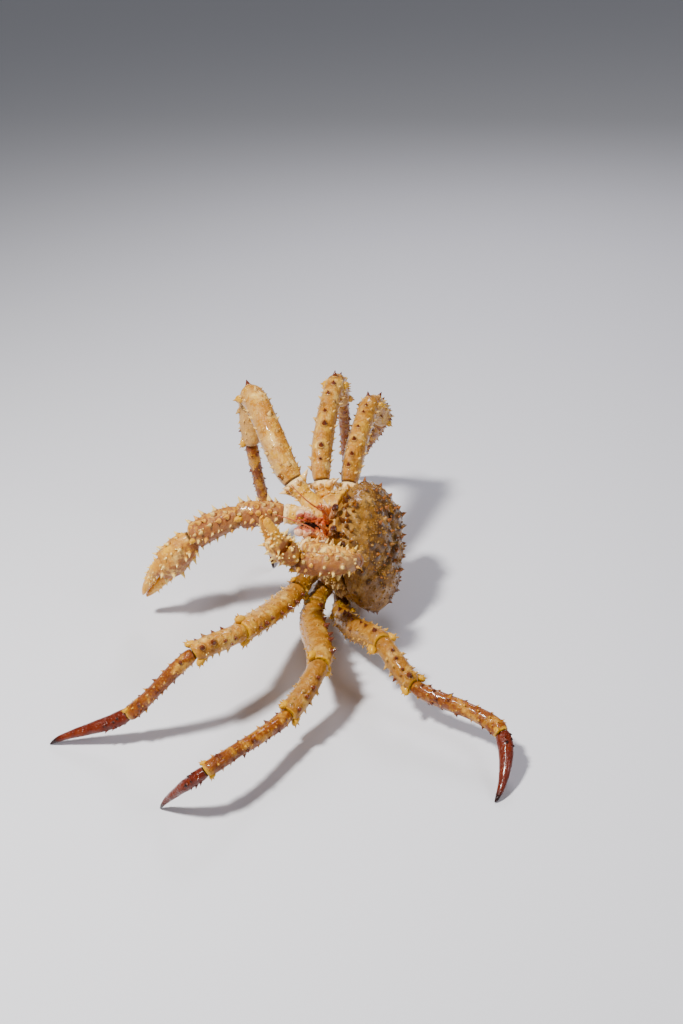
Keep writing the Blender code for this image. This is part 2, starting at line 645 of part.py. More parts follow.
def carapace(collection, rng):
    """The shell of the back: a low dome with its regions, grooves and spines."""
    rings = []
    for shrink, height in ((0.90, CARAPACE_FLOOR), (0.975, CARAPACE_EDGE_HEIGHT - 0.03)):
        ring = []
        for k in range(CARAPACE_SIDES):
            angle = 360 * k / CARAPACE_SIDES
            reach = edge_reach(angle) * shrink
            turn = math.radians(angle)
            ring.append(on_body((reach * math.cos(turn), reach * math.sin(turn), height)))
        rings.append(ring)
    for shrink in CARAPACE_RINGS:
        ring = []
        for k in range(CARAPACE_SIDES):
            angle = 360 * k / CARAPACE_SIDES
            reach = edge_reach(angle) * shrink
            ahead, left = reach * math.cos(math.radians(angle)), reach * math.sin(math.radians(angle))
            ring.append(on_body((ahead, left, back_height(ahead, left))))
        rings.append(ring)
    body = add_object("carapace", loft(rings, on_body((0, 0, back_height(0, 0)))), "shell", collection)
    combine(body, carapace_spines(rng), "UNION")


def rounded_ring(height, front, back, half_width, grow=0.0, sides=THORAX_SIDES):
    """One level of the underside: a rounded oblong in the body frame."""
    middle, half_length = (front + back) / 2, (front - back) / 2
    ring = []
    for k in range(sides):
        turn = 2 * math.pi * k / sides
        c, s = math.cos(turn), math.sin(turn)
        ahead = middle + (half_length + grow) * math.copysign(abs(c) ** 0.78, c)
        left = (half_width + grow) * math.copysign(abs(s) ** 0.78, s)
        ring.append(on_body((ahead, left, height)))
    return ring


def mouth_hollow():
    """The slit of the mouth, as a ball drawn out to its size."""
    data = bmesh.new()
    bmesh.ops.create_uvsphere(data, u_segments=12, v_segments=8, radius=1.0)
    for vert in data.verts:
        vert.co = on_body([middle + half * value for middle, half, value in zip(MOUTH_PLACE, MOUTH_SIZE, vert.co)])
    bmesh.ops.recalc_face_normals(data, faces=data.faces[:])
    return data


def thorax(collection, roots):
    """The underside of the body, with the mouth and a seat for each limb that grows from it."""
    top = CARAPACE_FLOOR - JOINT_GAP / CARAPACE_LENGTH
    levels = ((top, 0.42, -0.40, 0.44),) + THORAX_LEVELS
    body = add_object("thorax", loft([rounded_ring(*level) for level in levels]), "underside", collection)
    combine(body, roots + [mouth_hollow()], "DIFFERENCE")


def abdomen(collection):
    """The tail flap, folded forward under the back of the body."""
    rings = []
    for ahead, half, depth, middle in ABDOMEN_STATIONS:
        tilt = math.radians(90 * min(1.0, max(0.0, (-ahead) / 0.41)))
        outward = Vector((-math.sin(tilt), 0, -math.cos(tilt)))
        ring = []
        for k in range(ABDOMEN_SIDES):
            turn = 2 * math.pi * k / ABDOMEN_SIDES
            place = Vector((ahead, math.sin(turn) * half, middle)) + outward * math.cos(turn) * depth
            ring.append(on_body(place))
        rings.append(ring)
    body = add_object("abdomen", loft(rings), "underside", collection)
    top = CARAPACE_FLOOR - JOINT_GAP / CARAPACE_LENGTH
    grow = JOINT_GAP / CARAPACE_LENGTH
    levels = ((top + 0.02, 0.42, -0.40, 0.44),) + THORAX_LEVELS
    cutter = [rounded_ring(*level, grow=grow) for level in levels]
    lowest = THORAX_LEVELS[-1]
    cutter.append(rounded_ring(lowest[0] - grow, *lowest[1:], grow=0.0))
    combine(body, [loft(cutter)], "DIFFERENCE")


def taper(points, radii, sides, grow=0.0):
    """A thin round limb through a few points."""
    points = [points[0] - (points[1] - points[0]).normalized() * grow] + points[1:]
    rings = []
    for number, (point, radius) in enumerate(zip(points, radii)):
        before, after = points[max(0, number - 1)], points[min(len(points) - 1, number + 1)]
        way = (after - before).normalized()
        side = across(UP if abs(way.dot(UP)) < 0.9 else LEFT, way)
        other = way.cross(side)
        size = radius + grow
        rings.append([point + size * (math.cos(2 * math.pi * k / sides) * side
                                      + math.sin(2 * math.pi * k / sides) * other) for k in range(sides)])
    return loft(rings)


def curve_through(first, second, third, count):
    """Points on a smooth bend from the first point to the third."""
    points = []
    for k in range(count):
        t = k / (count - 1)
        points.append((1 - t) ** 2 * first + 2 * t * (1 - t) * second + t * t * third)
    return points


def head(collection):
    """Eyes, feelers and mouthparts; returns the seats they need."""
    seats = []

    def limb(name, line, radii, sides, material):
        """One small limb, and the seat of its root."""
        seats.append(taper(line, radii, sides, JOINT_GAP))
        return add_object(name, taper(line, radii, sides), material, collection)

    for name, side in (("left", 1), ("right", -1)):
        root, tip = on_body(EYE_ROOT, side), on_body(EYE_TIP, side)
        limb(f"{name}_eye", [root.lerp(tip, share) for share in EYE_SHARES], EYE_RADII, 8, "eye")

        root, bend = on_body(ANTENNA_ROOT, side), on_body(ANTENNA_BEND, side)
        line = [root, root.lerp(bend, 0.5), root.lerp(bend, 0.9)]
        line += curve_through(bend, bend + (bend - root) * 0.5, on_body(ANTENNA_TIPS[name]), 5)
        feeler = limb(f"{name}_antenna", line, ANTENNA_RADII, 7, "mouthparts")
        spikes = []
        for place, (ahead, left, up), height in ANTENNA_SPIKES:
            way = (ahead * FORWARD + side * left * LEFT + up * UP).normalized()
            spikes.append(spine(on_body(place, side), way, height, 0.28 * height, 5))
        combine(feeler, spikes, "UNION")

        root, tip = on_body(ANTENNULE_ROOT, side), on_body(ANTENNULE_TIP, side)
        limb(f"{name}_antennule", [root.lerp(tip, share) for share in ANTENNULE_SHARES], ANTENNULE_RADII, 6,
             "mouthparts")
        limb(f"{name}_maxilliped", [on_body(place, side) for place in MAXILLIPED_LINE], MAXILLIPED_RADII, 8,
             "mouthparts")
        limb(f"{name}_jaw", [on_body(place, side) for place in JAW_LINE], JAW_RADII, 8, "mouthparts")
    return seats


def main():
    clear_scene()
    rng = random.Random(SEED)
    collection = bpy.data.collections.new("red_king_crab")
    bpy.context.scene.collection.children.link(collection)
    carapace(collection, rng)
    abdomen(collection)
    seats = head(collection)
    for name in ("right", "left"):
        seats.append(claw(name, collection, rng))
    for name in LEG_POSES:
        seats.append(leg(name, collection, rng))
    thorax(collection, seats)


main()
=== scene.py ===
"""Red king crab, life size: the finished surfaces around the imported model.

Everything is in metres in the model's own frame. The crab's body is laid out
as in the model: forward, left and up out of its back, in carapace lengths.
"""
import math
import random

import bpy
import numpy as np
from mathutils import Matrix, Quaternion, Vector, kdtree, noise


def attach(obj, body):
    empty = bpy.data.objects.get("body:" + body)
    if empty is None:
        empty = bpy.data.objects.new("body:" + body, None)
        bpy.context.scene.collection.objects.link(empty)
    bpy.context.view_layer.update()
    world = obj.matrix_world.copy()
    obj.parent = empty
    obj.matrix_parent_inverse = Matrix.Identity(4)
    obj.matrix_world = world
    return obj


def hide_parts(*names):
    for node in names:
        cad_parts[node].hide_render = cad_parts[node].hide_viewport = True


bl_info = {
    "name": "Red King Crab",
    "version": (1, 0, 0),
    "blender": (4, 5, 0),
    "location": "3D View > Sidebar > Crab",
    "description": "Finishes a life-size red king crab: shell, spines, claws, head and stage",
    "category": "Add Mesh",
}

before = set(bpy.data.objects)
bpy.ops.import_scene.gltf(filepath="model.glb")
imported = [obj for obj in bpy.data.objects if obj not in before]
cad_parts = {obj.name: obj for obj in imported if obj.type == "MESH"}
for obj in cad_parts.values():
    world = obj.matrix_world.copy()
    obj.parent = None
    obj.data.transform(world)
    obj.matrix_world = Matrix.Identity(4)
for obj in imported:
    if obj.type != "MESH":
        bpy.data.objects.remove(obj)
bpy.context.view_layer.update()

# The body, as the model has it: the first three in metres, the rest in degrees or carapace lengths
CARAPACE_LENGTH = 0.140
JOINT_GAP = 0.0003
BODY_CENTRE = Vector((0.1139, 0.0007, 0.092))
BODY_HEADING = -131.0
BODY_PITCH = 50.0
BODY_ROLL = -65.0
# Angle from straight ahead, and how far off the carapace's edge lies there
CARAPACE_EDGE = ((0, 0.47), (18, 0.475), (35, 0.455), (55, 0.47), (75, 0.505), (95, 0.54),
                 (115, 0.55), (135, 0.525), (155, 0.485), (180, 0.455))
CARAPACE_EDGE_HEIGHT = -0.035
CARAPACE_FLOOR = -0.12
CARAPACE_DOME = 0.20
# Height of each level of the underside, and its front, back and half width
THORAX_LEVELS = ((-0.12, 0.42, -0.40, 0.44), (-0.22, 0.43, -0.39, 0.43), (-0.32, 0.42, -0.36, 0.39),
                 (-0.40, 0.38, -0.30, 0.32), (-0.46, 0.30, -0.20, 0.22))

# Walking legs, as the model has them: lengths and places in carapace lengths
LEG_LENGTHS = {
    "front": {"merus": 0.90, "carpus": 0.43, "propodus": 0.75, "dactylus": 0.50},
    "middle": {"merus": 0.957, "carpus": 0.45, "propodus": 0.80, "dactylus": 0.515},
    "back": {"merus": 0.871, "carpus": 0.414, "propodus": 0.743, "dactylus": 0.493},
    "left_front": {"merus": 0.90, "carpus": 0.43, "propodus": 0.68, "dactylus": 0.66},
}
LEG_ROOTS = {"front": (0.19, 0.19, -0.36), "middle": (-0.02, 0.23, -0.35), "back": (-0.21, 0.21, -0.34)}
MERUS_STARTS = {
    "right_front": (0.45, -0.42, -0.52), "right_middle": (0.24, -0.50, -0.38),
    "right_back": (-0.03, -0.58, -0.27), "left_front": (0.26, 0.44, -0.50),
    "left_middle": (0.12, 0.54, -0.42), "left_back": (-0.10, 0.55, -0.27),
}
# Azimuth and elevation of each segment; the last one slopes down to the floor
LEG_POSES = {
    "right_front": {"merus": (115, 30), "carpus": (180, -86), "propodus": (50, -83), "dactylus": -84},
    "right_middle": {"merus": (78, 31), "carpus": (82, -42), "propodus": (88, -65), "dactylus": 95},
    "right_back": {"merus": (72, 24), "carpus": (70, -43), "propodus": (115, -49), "dactylus": 110},
    "left_front": {"merus": (-117, 12), "carpus": (-138, 5), "propodus": (-172, -40), "dactylus": 178},
    "left_middle": {"merus": (-88, 8), "carpus": (-123, -18), "propodus": (-132, 4), "dactylus": 168},
    "left_back": {"merus": (-70, 17), "carpus": (-60, -19), "propodus": (-41, -6), "dactylus": -104},
}
# Azimuth and elevation in which a leg's tip curls, where it isn't straight down
TIP_LEANS = {"left_back": (170, -35), "left_front": (-160, -60)}
TIP_CURL = 0.9
TIP_HEIGHT = 0.0009
# Greatest turn of a joint's face against the segment before it, in degrees
FACING_LIMIT = 58.0
# Half depth and half width of each segment, in metres
SEGMENT_SIZES = {
    "coxa": (0.0120, 0.0112), "merus": (0.0152, 0.0122), "carpus": (0.0124, 0.0106),
    "propodus": (0.0090, 0.0077), "dactylus": (0.0084, 0.0066),
    "claw_coxa": (0.0112, 0.0112), "claw_merus": (0.0150, 0.0125), "claw_carpus": (0.0150, 0.0135),
    "palm": (0.0188, 0.0155), "finger": (0.0066, 0.0062),
}
# Half depth and half width of the front right merus, the broadest
BROAD_MERUS = (0.0158, 0.0150)
# Swelling along each segment, finer than in the model: necks, rims and waists
SEGMENT_PROFILES = {
    "coxa": ((0, 0.92), (0.25, 1.02), (0.45, 0.98), (0.58, 0.86), (0.64, 0.84), (0.70, 0.96), (0.80, 1.0),
             (0.90, 1.10), (0.96, 1.06), (1, 0.86)),
    "merus": ((0, 0.72), (0.03, 0.82), (0.10, 0.92), (0.3, 1.0), (0.6, 0.97), (0.8, 0.98), (0.92, 0.98),
              (0.97, 0.93), (1, 0.82)),
    "carpus": ((0, 0.80), (0.05, 0.91), (0.12, 0.96), (0.18, 0.92), (0.34, 0.97), (0.6, 1.0), (0.85, 1.0),
               (0.955, 0.96), (1, 0.82)),
    "propodus": ((0, 0.76), (0.05, 0.93), (0.12, 1.0), (0.35, 0.95), (0.65, 0.88), (0.86, 0.95), (0.96, 0.97),
                 (1, 0.80)),
    "dactylus": ((0, 0.80), (0.05, 0.95), (0.14, 1.0), (0.34, 0.86), (0.58, 0.63), (0.8, 0.40), (0.92, 0.25),
                 (1, 0.10)),
    "claw_coxa": ((0, 0.9), (0.4, 0.99), (0.55, 0.92), (0.62, 1.0), (0.9, 0.98), (1, 0.82)),
    "claw_merus": ((0, 0.70), (0.08, 0.80), (0.2, 0.89), (0.55, 0.98), (0.85, 1.03), (0.95, 1.0), (1, 0.82)),
    "claw_carpus": ((0, 0.74), (0.06, 0.86), (0.2, 0.95), (0.42, 1.02), (0.7, 1.05), (0.92, 1.0), (1, 0.76)),
}
# How strongly each segment's curve leaves its near and its far joint square to their faces
SEGMENT_PULLS = {
    "coxa": (0.5, 0.5), "merus": (0.6, 0.42), "carpus": (0.66, 0.5), "propodus": (0.5, 0.5),
    "dactylus": (0.62, 0.40), "claw_coxa": (0.5, 0.5), "claw_merus": (0.6, 0.5), "claw_carpus": (0.85, 0.5),
}
# Joint places of the claw arms in the body frame, root to tip
RIGHT_CLAW = ((0.36, -0.11, -0.36), (0.50, -0.12, -0.55), (0.62, -0.09, -0.89),
              (0.65, 0.06, -1.28), (0.56, 0.27, -1.60), (0.40, 0.40, -1.88))
LEFT_CLAW = ((0.36, 0.11, -0.36), (0.49, 0.20, -0.30), (0.57, 0.39, 0.13),
             (0.89, 0.47, -0.18), (1.11, 0.40, -0.22), (1.33, 0.31, -0.21))
CLAW_SCALES = {"right": 1.0, "left": 0.86}
# How far the fingers stand off, bow apart and close again, in finger depths
FINGER_LIFT = 1.15
FINGER_BOW = -0.10
FINGER_CLOSE = 0.85
FINGER_HALF_GAP = 0.0007

# Head, for the crab's left side
EYE_ROOT = (0.405, 0.075, -0.168)
EYE_TIP = (0.545, 0.09, -0.062)
EYE_RADIUS = 0.0039
ANTENNA_ROOT = (0.39, 0.135, -0.19)
ANTENNA_BEND = (0.56, 0.10, -0.21)
ANTENNA_TIPS = {"right": (0.86, -0.17, -0.29), "left": (0.84, 0.05, -0.42)}
ANTENNULE_ROOT = (0.40, 0.035, -0.20)
ANTENNULE_TIP = (0.66, 0.07, -0.14)
JAW_LINE = ((0.385, 0.060, -0.235), (0.400, 0.038, -0.238), (0.412, 0.014, -0.242))
MOUTH_HEIGHT = -0.31
# Spines over the eyes: place, lean to the side and upwards, and height
BROW_SPINES = ((0.450, 0.040, 0.000, 0.30, 0.35, 0.0085), (0.435, 0.172, -0.030, 0.20, 0.15, 0.0095),
               (0.445, 0.125, -0.015, 0.15, 0.65, 0.0075), (0.425, 0.225, -0.025, 0.30, 0.30, 0.0060),
               (0.420, 0.085, 0.020, 0.10, 1.00, 0.0075), (0.410, 0.160, 0.015, 0.15, 1.10, 0.0070),
               (0.440, 0.105, -0.020, 0.05, 0.25, 0.0060), (0.440, 0.150, -0.035, 0.30, -0.10, 0.0055))

# Camera: its place in metres, tilt and roll in degrees, lens and sensor in millimetres
CAMERA_PLACE = (0.0819, -1.1683, 0.81)
CAMERA_TILT = 30.0
CAMERA_ROLL = 3.9
CAMERA_LENS = 42.86
CAMERA_SENSOR = 36.0
# Lights: name, place, point aimed at, size, power and colour
LIGHTS = (
    ("key_light", (-0.55, -0.45, 1.5), (0.0, 0.0, 0.08), 0.20, 48.0, (1.0, 0.97, 0.92)),
    ("fill_light", (1.3, -0.9, 1.2), (0.05, 0.0, 0.08), 0.5, 8.0, (0.98, 0.96, 1.0)),
    ("back_light", (0.5, 1.4, 1.3), (0.0, 0.0, 0.1), 0.4, 10.0, (0.94, 0.90, 1.0)),
)
WORLD_COLOUR = (0.93, 0.94, 1.0)
WORLD_STRENGTH = 0.17
FLOOR_SIZE = 14.0

# Colour draws of spines: up to 0.5 pale, up to 1 dark tipped, then these three kinds
KNOB_TINT = 2.0
TOOTH_TINT = 3.0
BROW_TINT = 4.0

SEED = 11


def factor_setting(name, description):
    """A share of the natural amount that can be changed."""
    return bpy.props.FloatProperty(
        name=name, description=description, default=1.0, min=0.3, max=1.5, subtype="FACTOR")


def colour_setting(name, description, colour):
    """A colour that can be changed."""
    return bpy.props.FloatVectorProperty(
        name=name, description=description, subtype="COLOR", size=3, default=colour)


class CrabShape(bpy.types.PropertyGroup):
    """Sizes that can be changed."""

    spine_scale: factor_setting("Spine size", "Size of all spines against their natural size")
    spine_density: factor_setting("Spine density", "Number of spines against their natural number")
    relief: bpy.props.FloatProperty(
        name="Relief", description="Height of the uneven swellings of the shell",
        default=0.0005, min=0.0, max=0.002, unit="LENGTH")
    smoothness: bpy.props.IntProperty(
        name="Smoothness", description="Subdivision levels of the shell", default=1, min=0, max=2)


class CrabColours(bpy.types.PropertyGroup):
    """Colours that can be changed."""

    shell: colour_setting("Shell", "Main colour of the legs", (0.44, 0.17, 0.008))
    cream: colour_setting("Cream", "Pale patches and pale spines of the legs", (0.92, 0.60, 0.15))
    brown: colour_setting("Brown", "Tips of the dark spines", (0.12, 0.022, 0.003))
    back: colour_setting("Back", "Main colour of the carapace", (0.22, 0.090, 0.009))
    claw: colour_setting("Claws", "Main colour of the claws", (0.60, 0.26, 0.022))
    yellow: colour_setting("Joint yellow", "Joint knobs", (0.72, 0.36, 0.0))
    red: colour_setting("Mouth red", "Feelers and mouthparts", (0.54, 0.065, 0.008))
    tip: colour_setting("Leg tip", "Last segment of the legs", (0.115, 0.012, 0.003))
    floor: colour_setting("Floor", "Colour of the floor", (0.80, 0.81, 0.87))


def direction(azimuth, elevation):
    """Unit vector from an azimuth and an elevation in degrees."""
    around, rise = math.radians(azimuth), math.radians(elevation)
    return Vector((math.cos(rise) * math.cos(around), math.cos(rise) * math.sin(around), math.sin(rise)))


def body_axes():
    """The body's forward, left and up directions."""
    forward = direction(BODY_HEADING, BODY_PITCH)
    level_left = Vector((0, 0, 1)).cross(forward).normalized()
    level_up = forward.cross(level_left)
    roll = math.radians(BODY_ROLL)
    left = math.cos(roll) * level_left + math.sin(roll) * level_up
    return forward, left, forward.cross(left)


FORWARD, LEFT, UP = body_axes()
BODY_MATRIX = np.array((FORWARD, LEFT, UP))
# Where the shell's colour, and on the claws its painted shade, turns: share of the limb's own outer side, and
# a direction
# On the legs the turn is real: a darker back over a paler underside
LEG_TONE = (0.5, 0.6 * UP)
# On the claws, the side turned away from this mostly upward direction is painted darker: painted shade
CLAW_SHADE_TONE = (0.0, Vector((-0.5, 0.4, 0.75)))
# Size of the broad swellings of the limbs' shell
SWELLING_SIZE = 0.015


def on_body(point, side=1):
    """Place of a point given in the body frame; side -1 mirrors it."""
    ahead, left, up = point
    return BODY_CENTRE + CARAPACE_LENGTH * (ahead * FORWARD + side * left * LEFT + up * UP)


def across(vector, axis):
    """The part of a vector square to an axis, at unit length."""
    return (vector - vector.dot(axis) * axis).normalized()


def joint_facing(incoming, outgoing):
    """Facing of a joint: halfway between two segments, within a limit."""
    turn = incoming.angle(outgoing)
    if turn < 1e-4:
        return incoming.copy()
    hinge = incoming.cross(outgoing).normalized()
    return (Quaternion(hinge, min(turn / 2, math.radians(FACING_LIMIT))) @ incoming).normalized()


def ease(values, places, wanted):
    """Smooth curve through rows of values, read at the wanted places."""
    values, places = np.asarray(values, float), np.asarray(places, float)
    slopes = np.gradient(values, places, axis=0)
    index = np.clip(np.searchsorted(places, wanted, side="right") - 1, 0, len(places) - 2)
    span = places[index + 1] - places[index]
    t = np.clip((wanted - places[index]) / span, 0, 1)
    shape = (-1,) + (1,) * (values.ndim - 1)
    t, span = t.reshape(shape), span.reshape(shape)
    t2, t3 = t * t, t * t * t
    return ((2 * t3 - 3 * t2 + 1) * values[index] + (t3 - 2 * t2 + t) * span * slopes[index]
            + (3 * t2 - 2 * t3) * values[index + 1] + (t3 - t2) * span * slopes[index + 1])


def unit(rows):
    """Rows of vectors at unit length."""
    return rows / np.linalg.norm(rows, axis=-1, keepdims=True)


class Limb:
    """A bar with an oval section that changes along a smooth middle line."""

    COUNT = 61
    THINNEST = 0.00015

    def __init__(self, centres, outers, sizes, places=None):
        """Stations along the bar: middle, outward direction and the two half sizes."""
        centres = np.array([tuple(c) for c in centres], float)
        outers = np.array([tuple(o) for o in outers], float)
        sizes = np.array(sizes, float)
        if places is None:
            steps = np.linalg.norm(np.diff(centres, axis=0), axis=1)
            places = np.concatenate(([0], np.cumsum(steps))) / steps.sum()
        self.places = np.linspace(0, 1, self.COUNT)
        self.centres = ease(centres, places, self.places)
        self.sizes = np.maximum(ease(sizes, places, self.places), self.THINNEST)
        self.ways = unit(np.gradient(self.centres, self.places, axis=0))
        outward = ease(outers, places, self.places)
        outward -= (outward * self.ways).sum(1, keepdims=True) * self.ways
        self.outers = unit(outward)
        self.sides = np.cross(self.outers, self.ways)

    def read(self, rows, s):
        """Values between the bar's stations."""
        return np.stack([np.interp(s, self.places, rows[:, k]) for k in range(rows.shape[1])], axis=-1)

    def surface(self, s, angle, share=1.0):
        """Points on the skin and outward normals, at an angle in radians from the outer side."""
        s, angle = np.atleast_1d(s), np.atleast_1d(angle)
        outer, side, size = self.read(self.outers, s), self.read(self.sides, s), self.read(self.sizes, s)
        depth, width = size[:, :1], size[:, 1:]
        c, n = np.cos(angle)[:, None], np.sin(angle)[:, None]
        points = self.read(self.centres, s) + share * (c * depth * outer + n * width * side)
        return points, unit(c / depth * outer + n / width * side)


def hermite_limb(near, near_way, far, far_way, hinges, kind, size):
    """A limb segment between two joints, along the same curve as in the model."""
    span = (far - near).length
    t = np.linspace(0, 1, 41)[:, None]
    pulls = zip((near_way, far_way), SEGMENT_PULLS[kind])
    near_pull, far_pull = (np.array(way) * span * pull * 1.5 for way, pull in pulls)
    centres = ((2 * t ** 3 - 3 * t * t + 1) * np.array(near) + (t ** 3 - 2 * t * t + t) * near_pull
               + (3 * t * t - 2 * t ** 3) * np.array(far) + (t ** 3 - t * t) * far_pull)
    ways = unit(np.gradient(centres, t[:, 0], axis=0))
    sides = np.array(hinges[0]) * (1 - t) + np.array(hinges[1]) * t
    sides = unit(sides - (sides * ways).sum(1, keepdims=True) * ways)
    profile = SEGMENT_PROFILES[kind]
    swell = np.interp(t[:, 0], [p[0] for p in profile], [p[1] for p in profile])
    return Limb(centres, np.cross(ways, sides), swell[:, None] * np.array(size), t[:, 0])


def segment_limb(line, number, kind, size):
    """The bar of one numbered segment of a leg or claw arm, with its gaps at the joints."""
    points, facings, hinges = line
    near = points[number] + facings[number] * (JOINT_GAP / 2 if number else 0.0)
    last = number + 2 == len(points)
    far = points[number + 1] - facings[number + 1] * (0.0 if last else JOINT_GAP / 2)
    return hermite_limb(near, facings[number], far, facings[number + 1], hinges[number:number + 2],
                        kind, size)


def deselect():
    """Leave object mode with nothing selected."""
    if bpy.context.object and bpy.context.object.mode != "OBJECT":
        bpy.ops.object.mode_set(mode="OBJECT")
    bpy.ops.object.select_all(action="DESELECT")


def ball(name, segments, rings):
    """A new sphere to be drawn out into a piece, with its poles at the piece's ends."""
    deselect()
    bpy.ops.mesh.primitive_uv_sphere_add(segments=segments, ring_count=rings, radius=1.0, location=(0, 0, 0))
    piece = bpy.context.object
    piece.name = name
    piece.data.name = name
    return piece


def ball_places(piece):
    """How far along and round each point of a new sphere lies."""
    co = points_of(piece)
    return np.arccos(np.clip(co[:, 2], -1, 1)) / math.pi, np.arctan2(co[:, 1], co[:, 0])


def set_points(piece, points):
    """Move all points of a piece."""
    piece.data.vertices.foreach_set("co", np.asarray(points, float).ravel())
    piece.data.update()


def points_of(piece):
    """All points of a piece as rows."""
    co = np.empty(len(piece.data.vertices) * 3)
    piece.data.vertices.foreach_get("co", co)
    return co.reshape(-1, 3)


def set_value(piece, name, values):
    """One number for each point of a piece, for its material to read."""
    layer = piece.data.attributes.get(name) or piece.data.attributes.new(name, "FLOAT", "POINT")
    values = np.broadcast_to(np.asarray(values, float), len(piece.data.vertices))
    layer.data.foreach_set("value", values.copy())


def uneven(points, size, seed=0.0):
    """Smooth noise from -1 to 1 at rows of points."""
    shift = Vector((seed * 7.1, seed * 3.3, seed * 5.7))
    return np.array([noise.noise(Vector(p) / size + shift) for p in points])


def smooth(piece, levels):
    """Smooth shading, after a subdivision that is applied."""
    deselect()
    bpy.context.view_layer.objects.active = piece
    piece.select_set(True)
    if levels:
        modifier = piece.modifiers.new("Smooth", "SUBSURF")
        modifier.levels = modifier.render_levels = levels
        bpy.ops.object.modifier_apply(modifier=modifier.name)
    bpy.ops.object.shade_smooth()


def paint(piece, material):
    """Give a piece one material."""
    piece.data.materials.clear()
    piece.data.materials.append(bpy.data.materials[material])
    return piece


def draw_out(name, limb, material, segments=26, rings=56, relief=0.0, seed=0.0, cap=3, levels=None,
             ripple=(0, 0), tone=LEG_TONE):
    """A sphere drawn out along a limb, with closed, rounded ends.

    The cap is the number of its rings in each end, and the ripple gives a ringed
    piece the number and depth of its rings.
    """
    piece = ball(name, segments, rings)
    along, angle = ball_places(piece)
    edge = cap / rings
    s = np.clip((along - edge) / (1 - 2 * edge), 0, 1)
    rim = np.minimum(1, np.minimum(along, 1 - along) / edge)
    share = np.sin(rim * math.pi / 2)[:, None] ** 0.8
    share = share * (1 + ripple[1] * np.cos(2 * math.pi * ripple[0] * s))[:, None]
    points, normals = limb.surface(s, angle, share)
    if relief:
        swell = uneven(points, SWELLING_SIZE, seed)
        points = points + normals * (swell * relief * (share[:, 0] > 0.98))[:, None]
    set_points(piece, points)
    set_value(piece, "along", s)
    set_value(piece, "outer", tone[0] * np.cos(angle) + normals @ np.array(tone[1]))
    smooth(piece, bpy.context.scene.crab_shape.smoothness if levels is None else levels)
    return paint(piece, material)


def join(pieces, name):
    """Several objects joined into one piece."""
    deselect()
    for piece in pieces:
        piece.select_set(True)
    bpy.context.view_layer.objects.active = pieces[0]
    if len(pieces) > 1:
        bpy.ops.object.join()
    pieces[0].name = name
    pieces[0].data.name = name
    return pieces[0]


class Thorns:
    """Spines for one piece, modelled once and copied to their places."""

    # Height and radius of each ring of a spine, a grain and a bristle
    SPINE = ((-0.30, 1.15), (0.0, 1.0), (0.10, 0.80), (0.32, 0.60), (0.62, 0.36), (0.88, 0.15), (1.0, 0.04))
    GRAIN = ((-0.30, 1.05), (0.15, 1.0), (0.70, 0.70), (1.0, 0.15))
    BRISTLE = ((-0.10, 1.0), (0.35, 0.85), (0.7, 0.55), (1.0, 0.10))

    def __init__(self, rings=SPINE, sides=7):
        """An empty set of spines with these rings and this number of sides."""
        self.rows = []
        self.rings = rings
        self.sides = sides

    def add(self, base, way, height, radius, tint=0.0, bend=0.0):
        """One spine: its foot, direction, height, foot radius, colour draw and lean of its tip."""
        self.rows.append((np.array(base), np.array(way), height, radius, tint, bend))

    def build(self, name, material):
        """All spines as one object."""
        heights, radii = np.array(self.rings).T
        body = heights.clip(0, 1)
        turns = 2 * math.pi * np.arange(self.sides) / self.sides
        circle = np.stack([np.cos(turns), np.sin(turns)], axis=1)
        verts, spine, tint = [], [], []
        for base, way, height, radius, shade, bend in self.rows:
            helper = np.array((0.0, 0.0, 1.0)) if abs(way[2]) < 0.8 else np.array((1.0, 0.0, 0.0))
            first = unit(np.cross(way, helper))
            second = np.cross(way, first)
            for h, r in zip(heights, radii):
                middle = base + way * (h * height) + first * (bend * height * max(0.0, h) ** 2)
                verts.append(middle + radius * r * (circle[:, :1] * first + circle[:, 1:] * second))
            spine.append(np.repeat(body, self.sides))
            tint.append(np.full(len(heights) * self.sides, shade))
        count, rings = self.sides, len(heights)
        loops = []
        for k in range(rings - 1):
            for j in range(count):
                n = (j + 1) % count
                loops.append((k * count + j, k * count + n, (k + 1) * count + n, (k + 1) * count + j))
        caps = (tuple(reversed(range(count))), tuple(range((rings - 1) * count, rings * count)))
        faces = []
        for number in range(len(self.rows)):
            start = number * rings * count
            faces += [tuple(start + v for v in face) for face in loops]
            faces += [tuple(start + v for v in face) for face in caps]
        mesh = bpy.data.meshes.new(name)
        mesh.from_pydata(np.concatenate(verts), [], faces)
        mesh.update()
        piece = bpy.data.objects.new(name, mesh)
        bpy.context.scene.collection.objects.link(piece)
        mesh.shade_smooth()
        set_value(piece, "along", 0.5)
        set_value(piece, "spine", np.concatenate(spine))
        set_value(piece, "tint", np.concatenate(tint))
        return paint(piece, material)


def spine_sets(sides=7):
    """Empty sets of spines and of grains for one piece."""
    return Thorns(sides=sides), Thorns(Thorns.GRAIN, 6)


def dress(skin, groups, name, material, mound=0.0005, spot_size=1.9):
    """Join a skin with its spines; the skin rises and is marked round each spine's foot."""
    feet = groups[0].rows
    if feet:
        tree = kdtree.KDTree(len(feet))
        for number, row in enumerate(feet):
            tree.insert(Vector(row[0]), number)
        tree.balance()
        points = points_of(skin)
        spots = []
        for point in points:
            _, number, distance = tree.find(Vector(point))
            sign = 1 if 0.5 < feet[number][4] <= 1 else -1
            spots.append(sign * max(0.0, 1 - distance / (spot_size * feet[number][3])))
        normals = np.empty(len(points) * 3)
        skin.data.vertices.foreach_get("normal", normals)
        rise = mound * np.sin(np.array(spots) * math.pi / 2) ** 2
        set_points(skin, points + rise[:, None] * normals.reshape(-1, 3))
        set_value(skin, "spot", spots)
    parts = [group.build(f"{name}_{number}", material) for number, group in enumerate(groups) if group.rows]
    return join([skin] + parts, name)


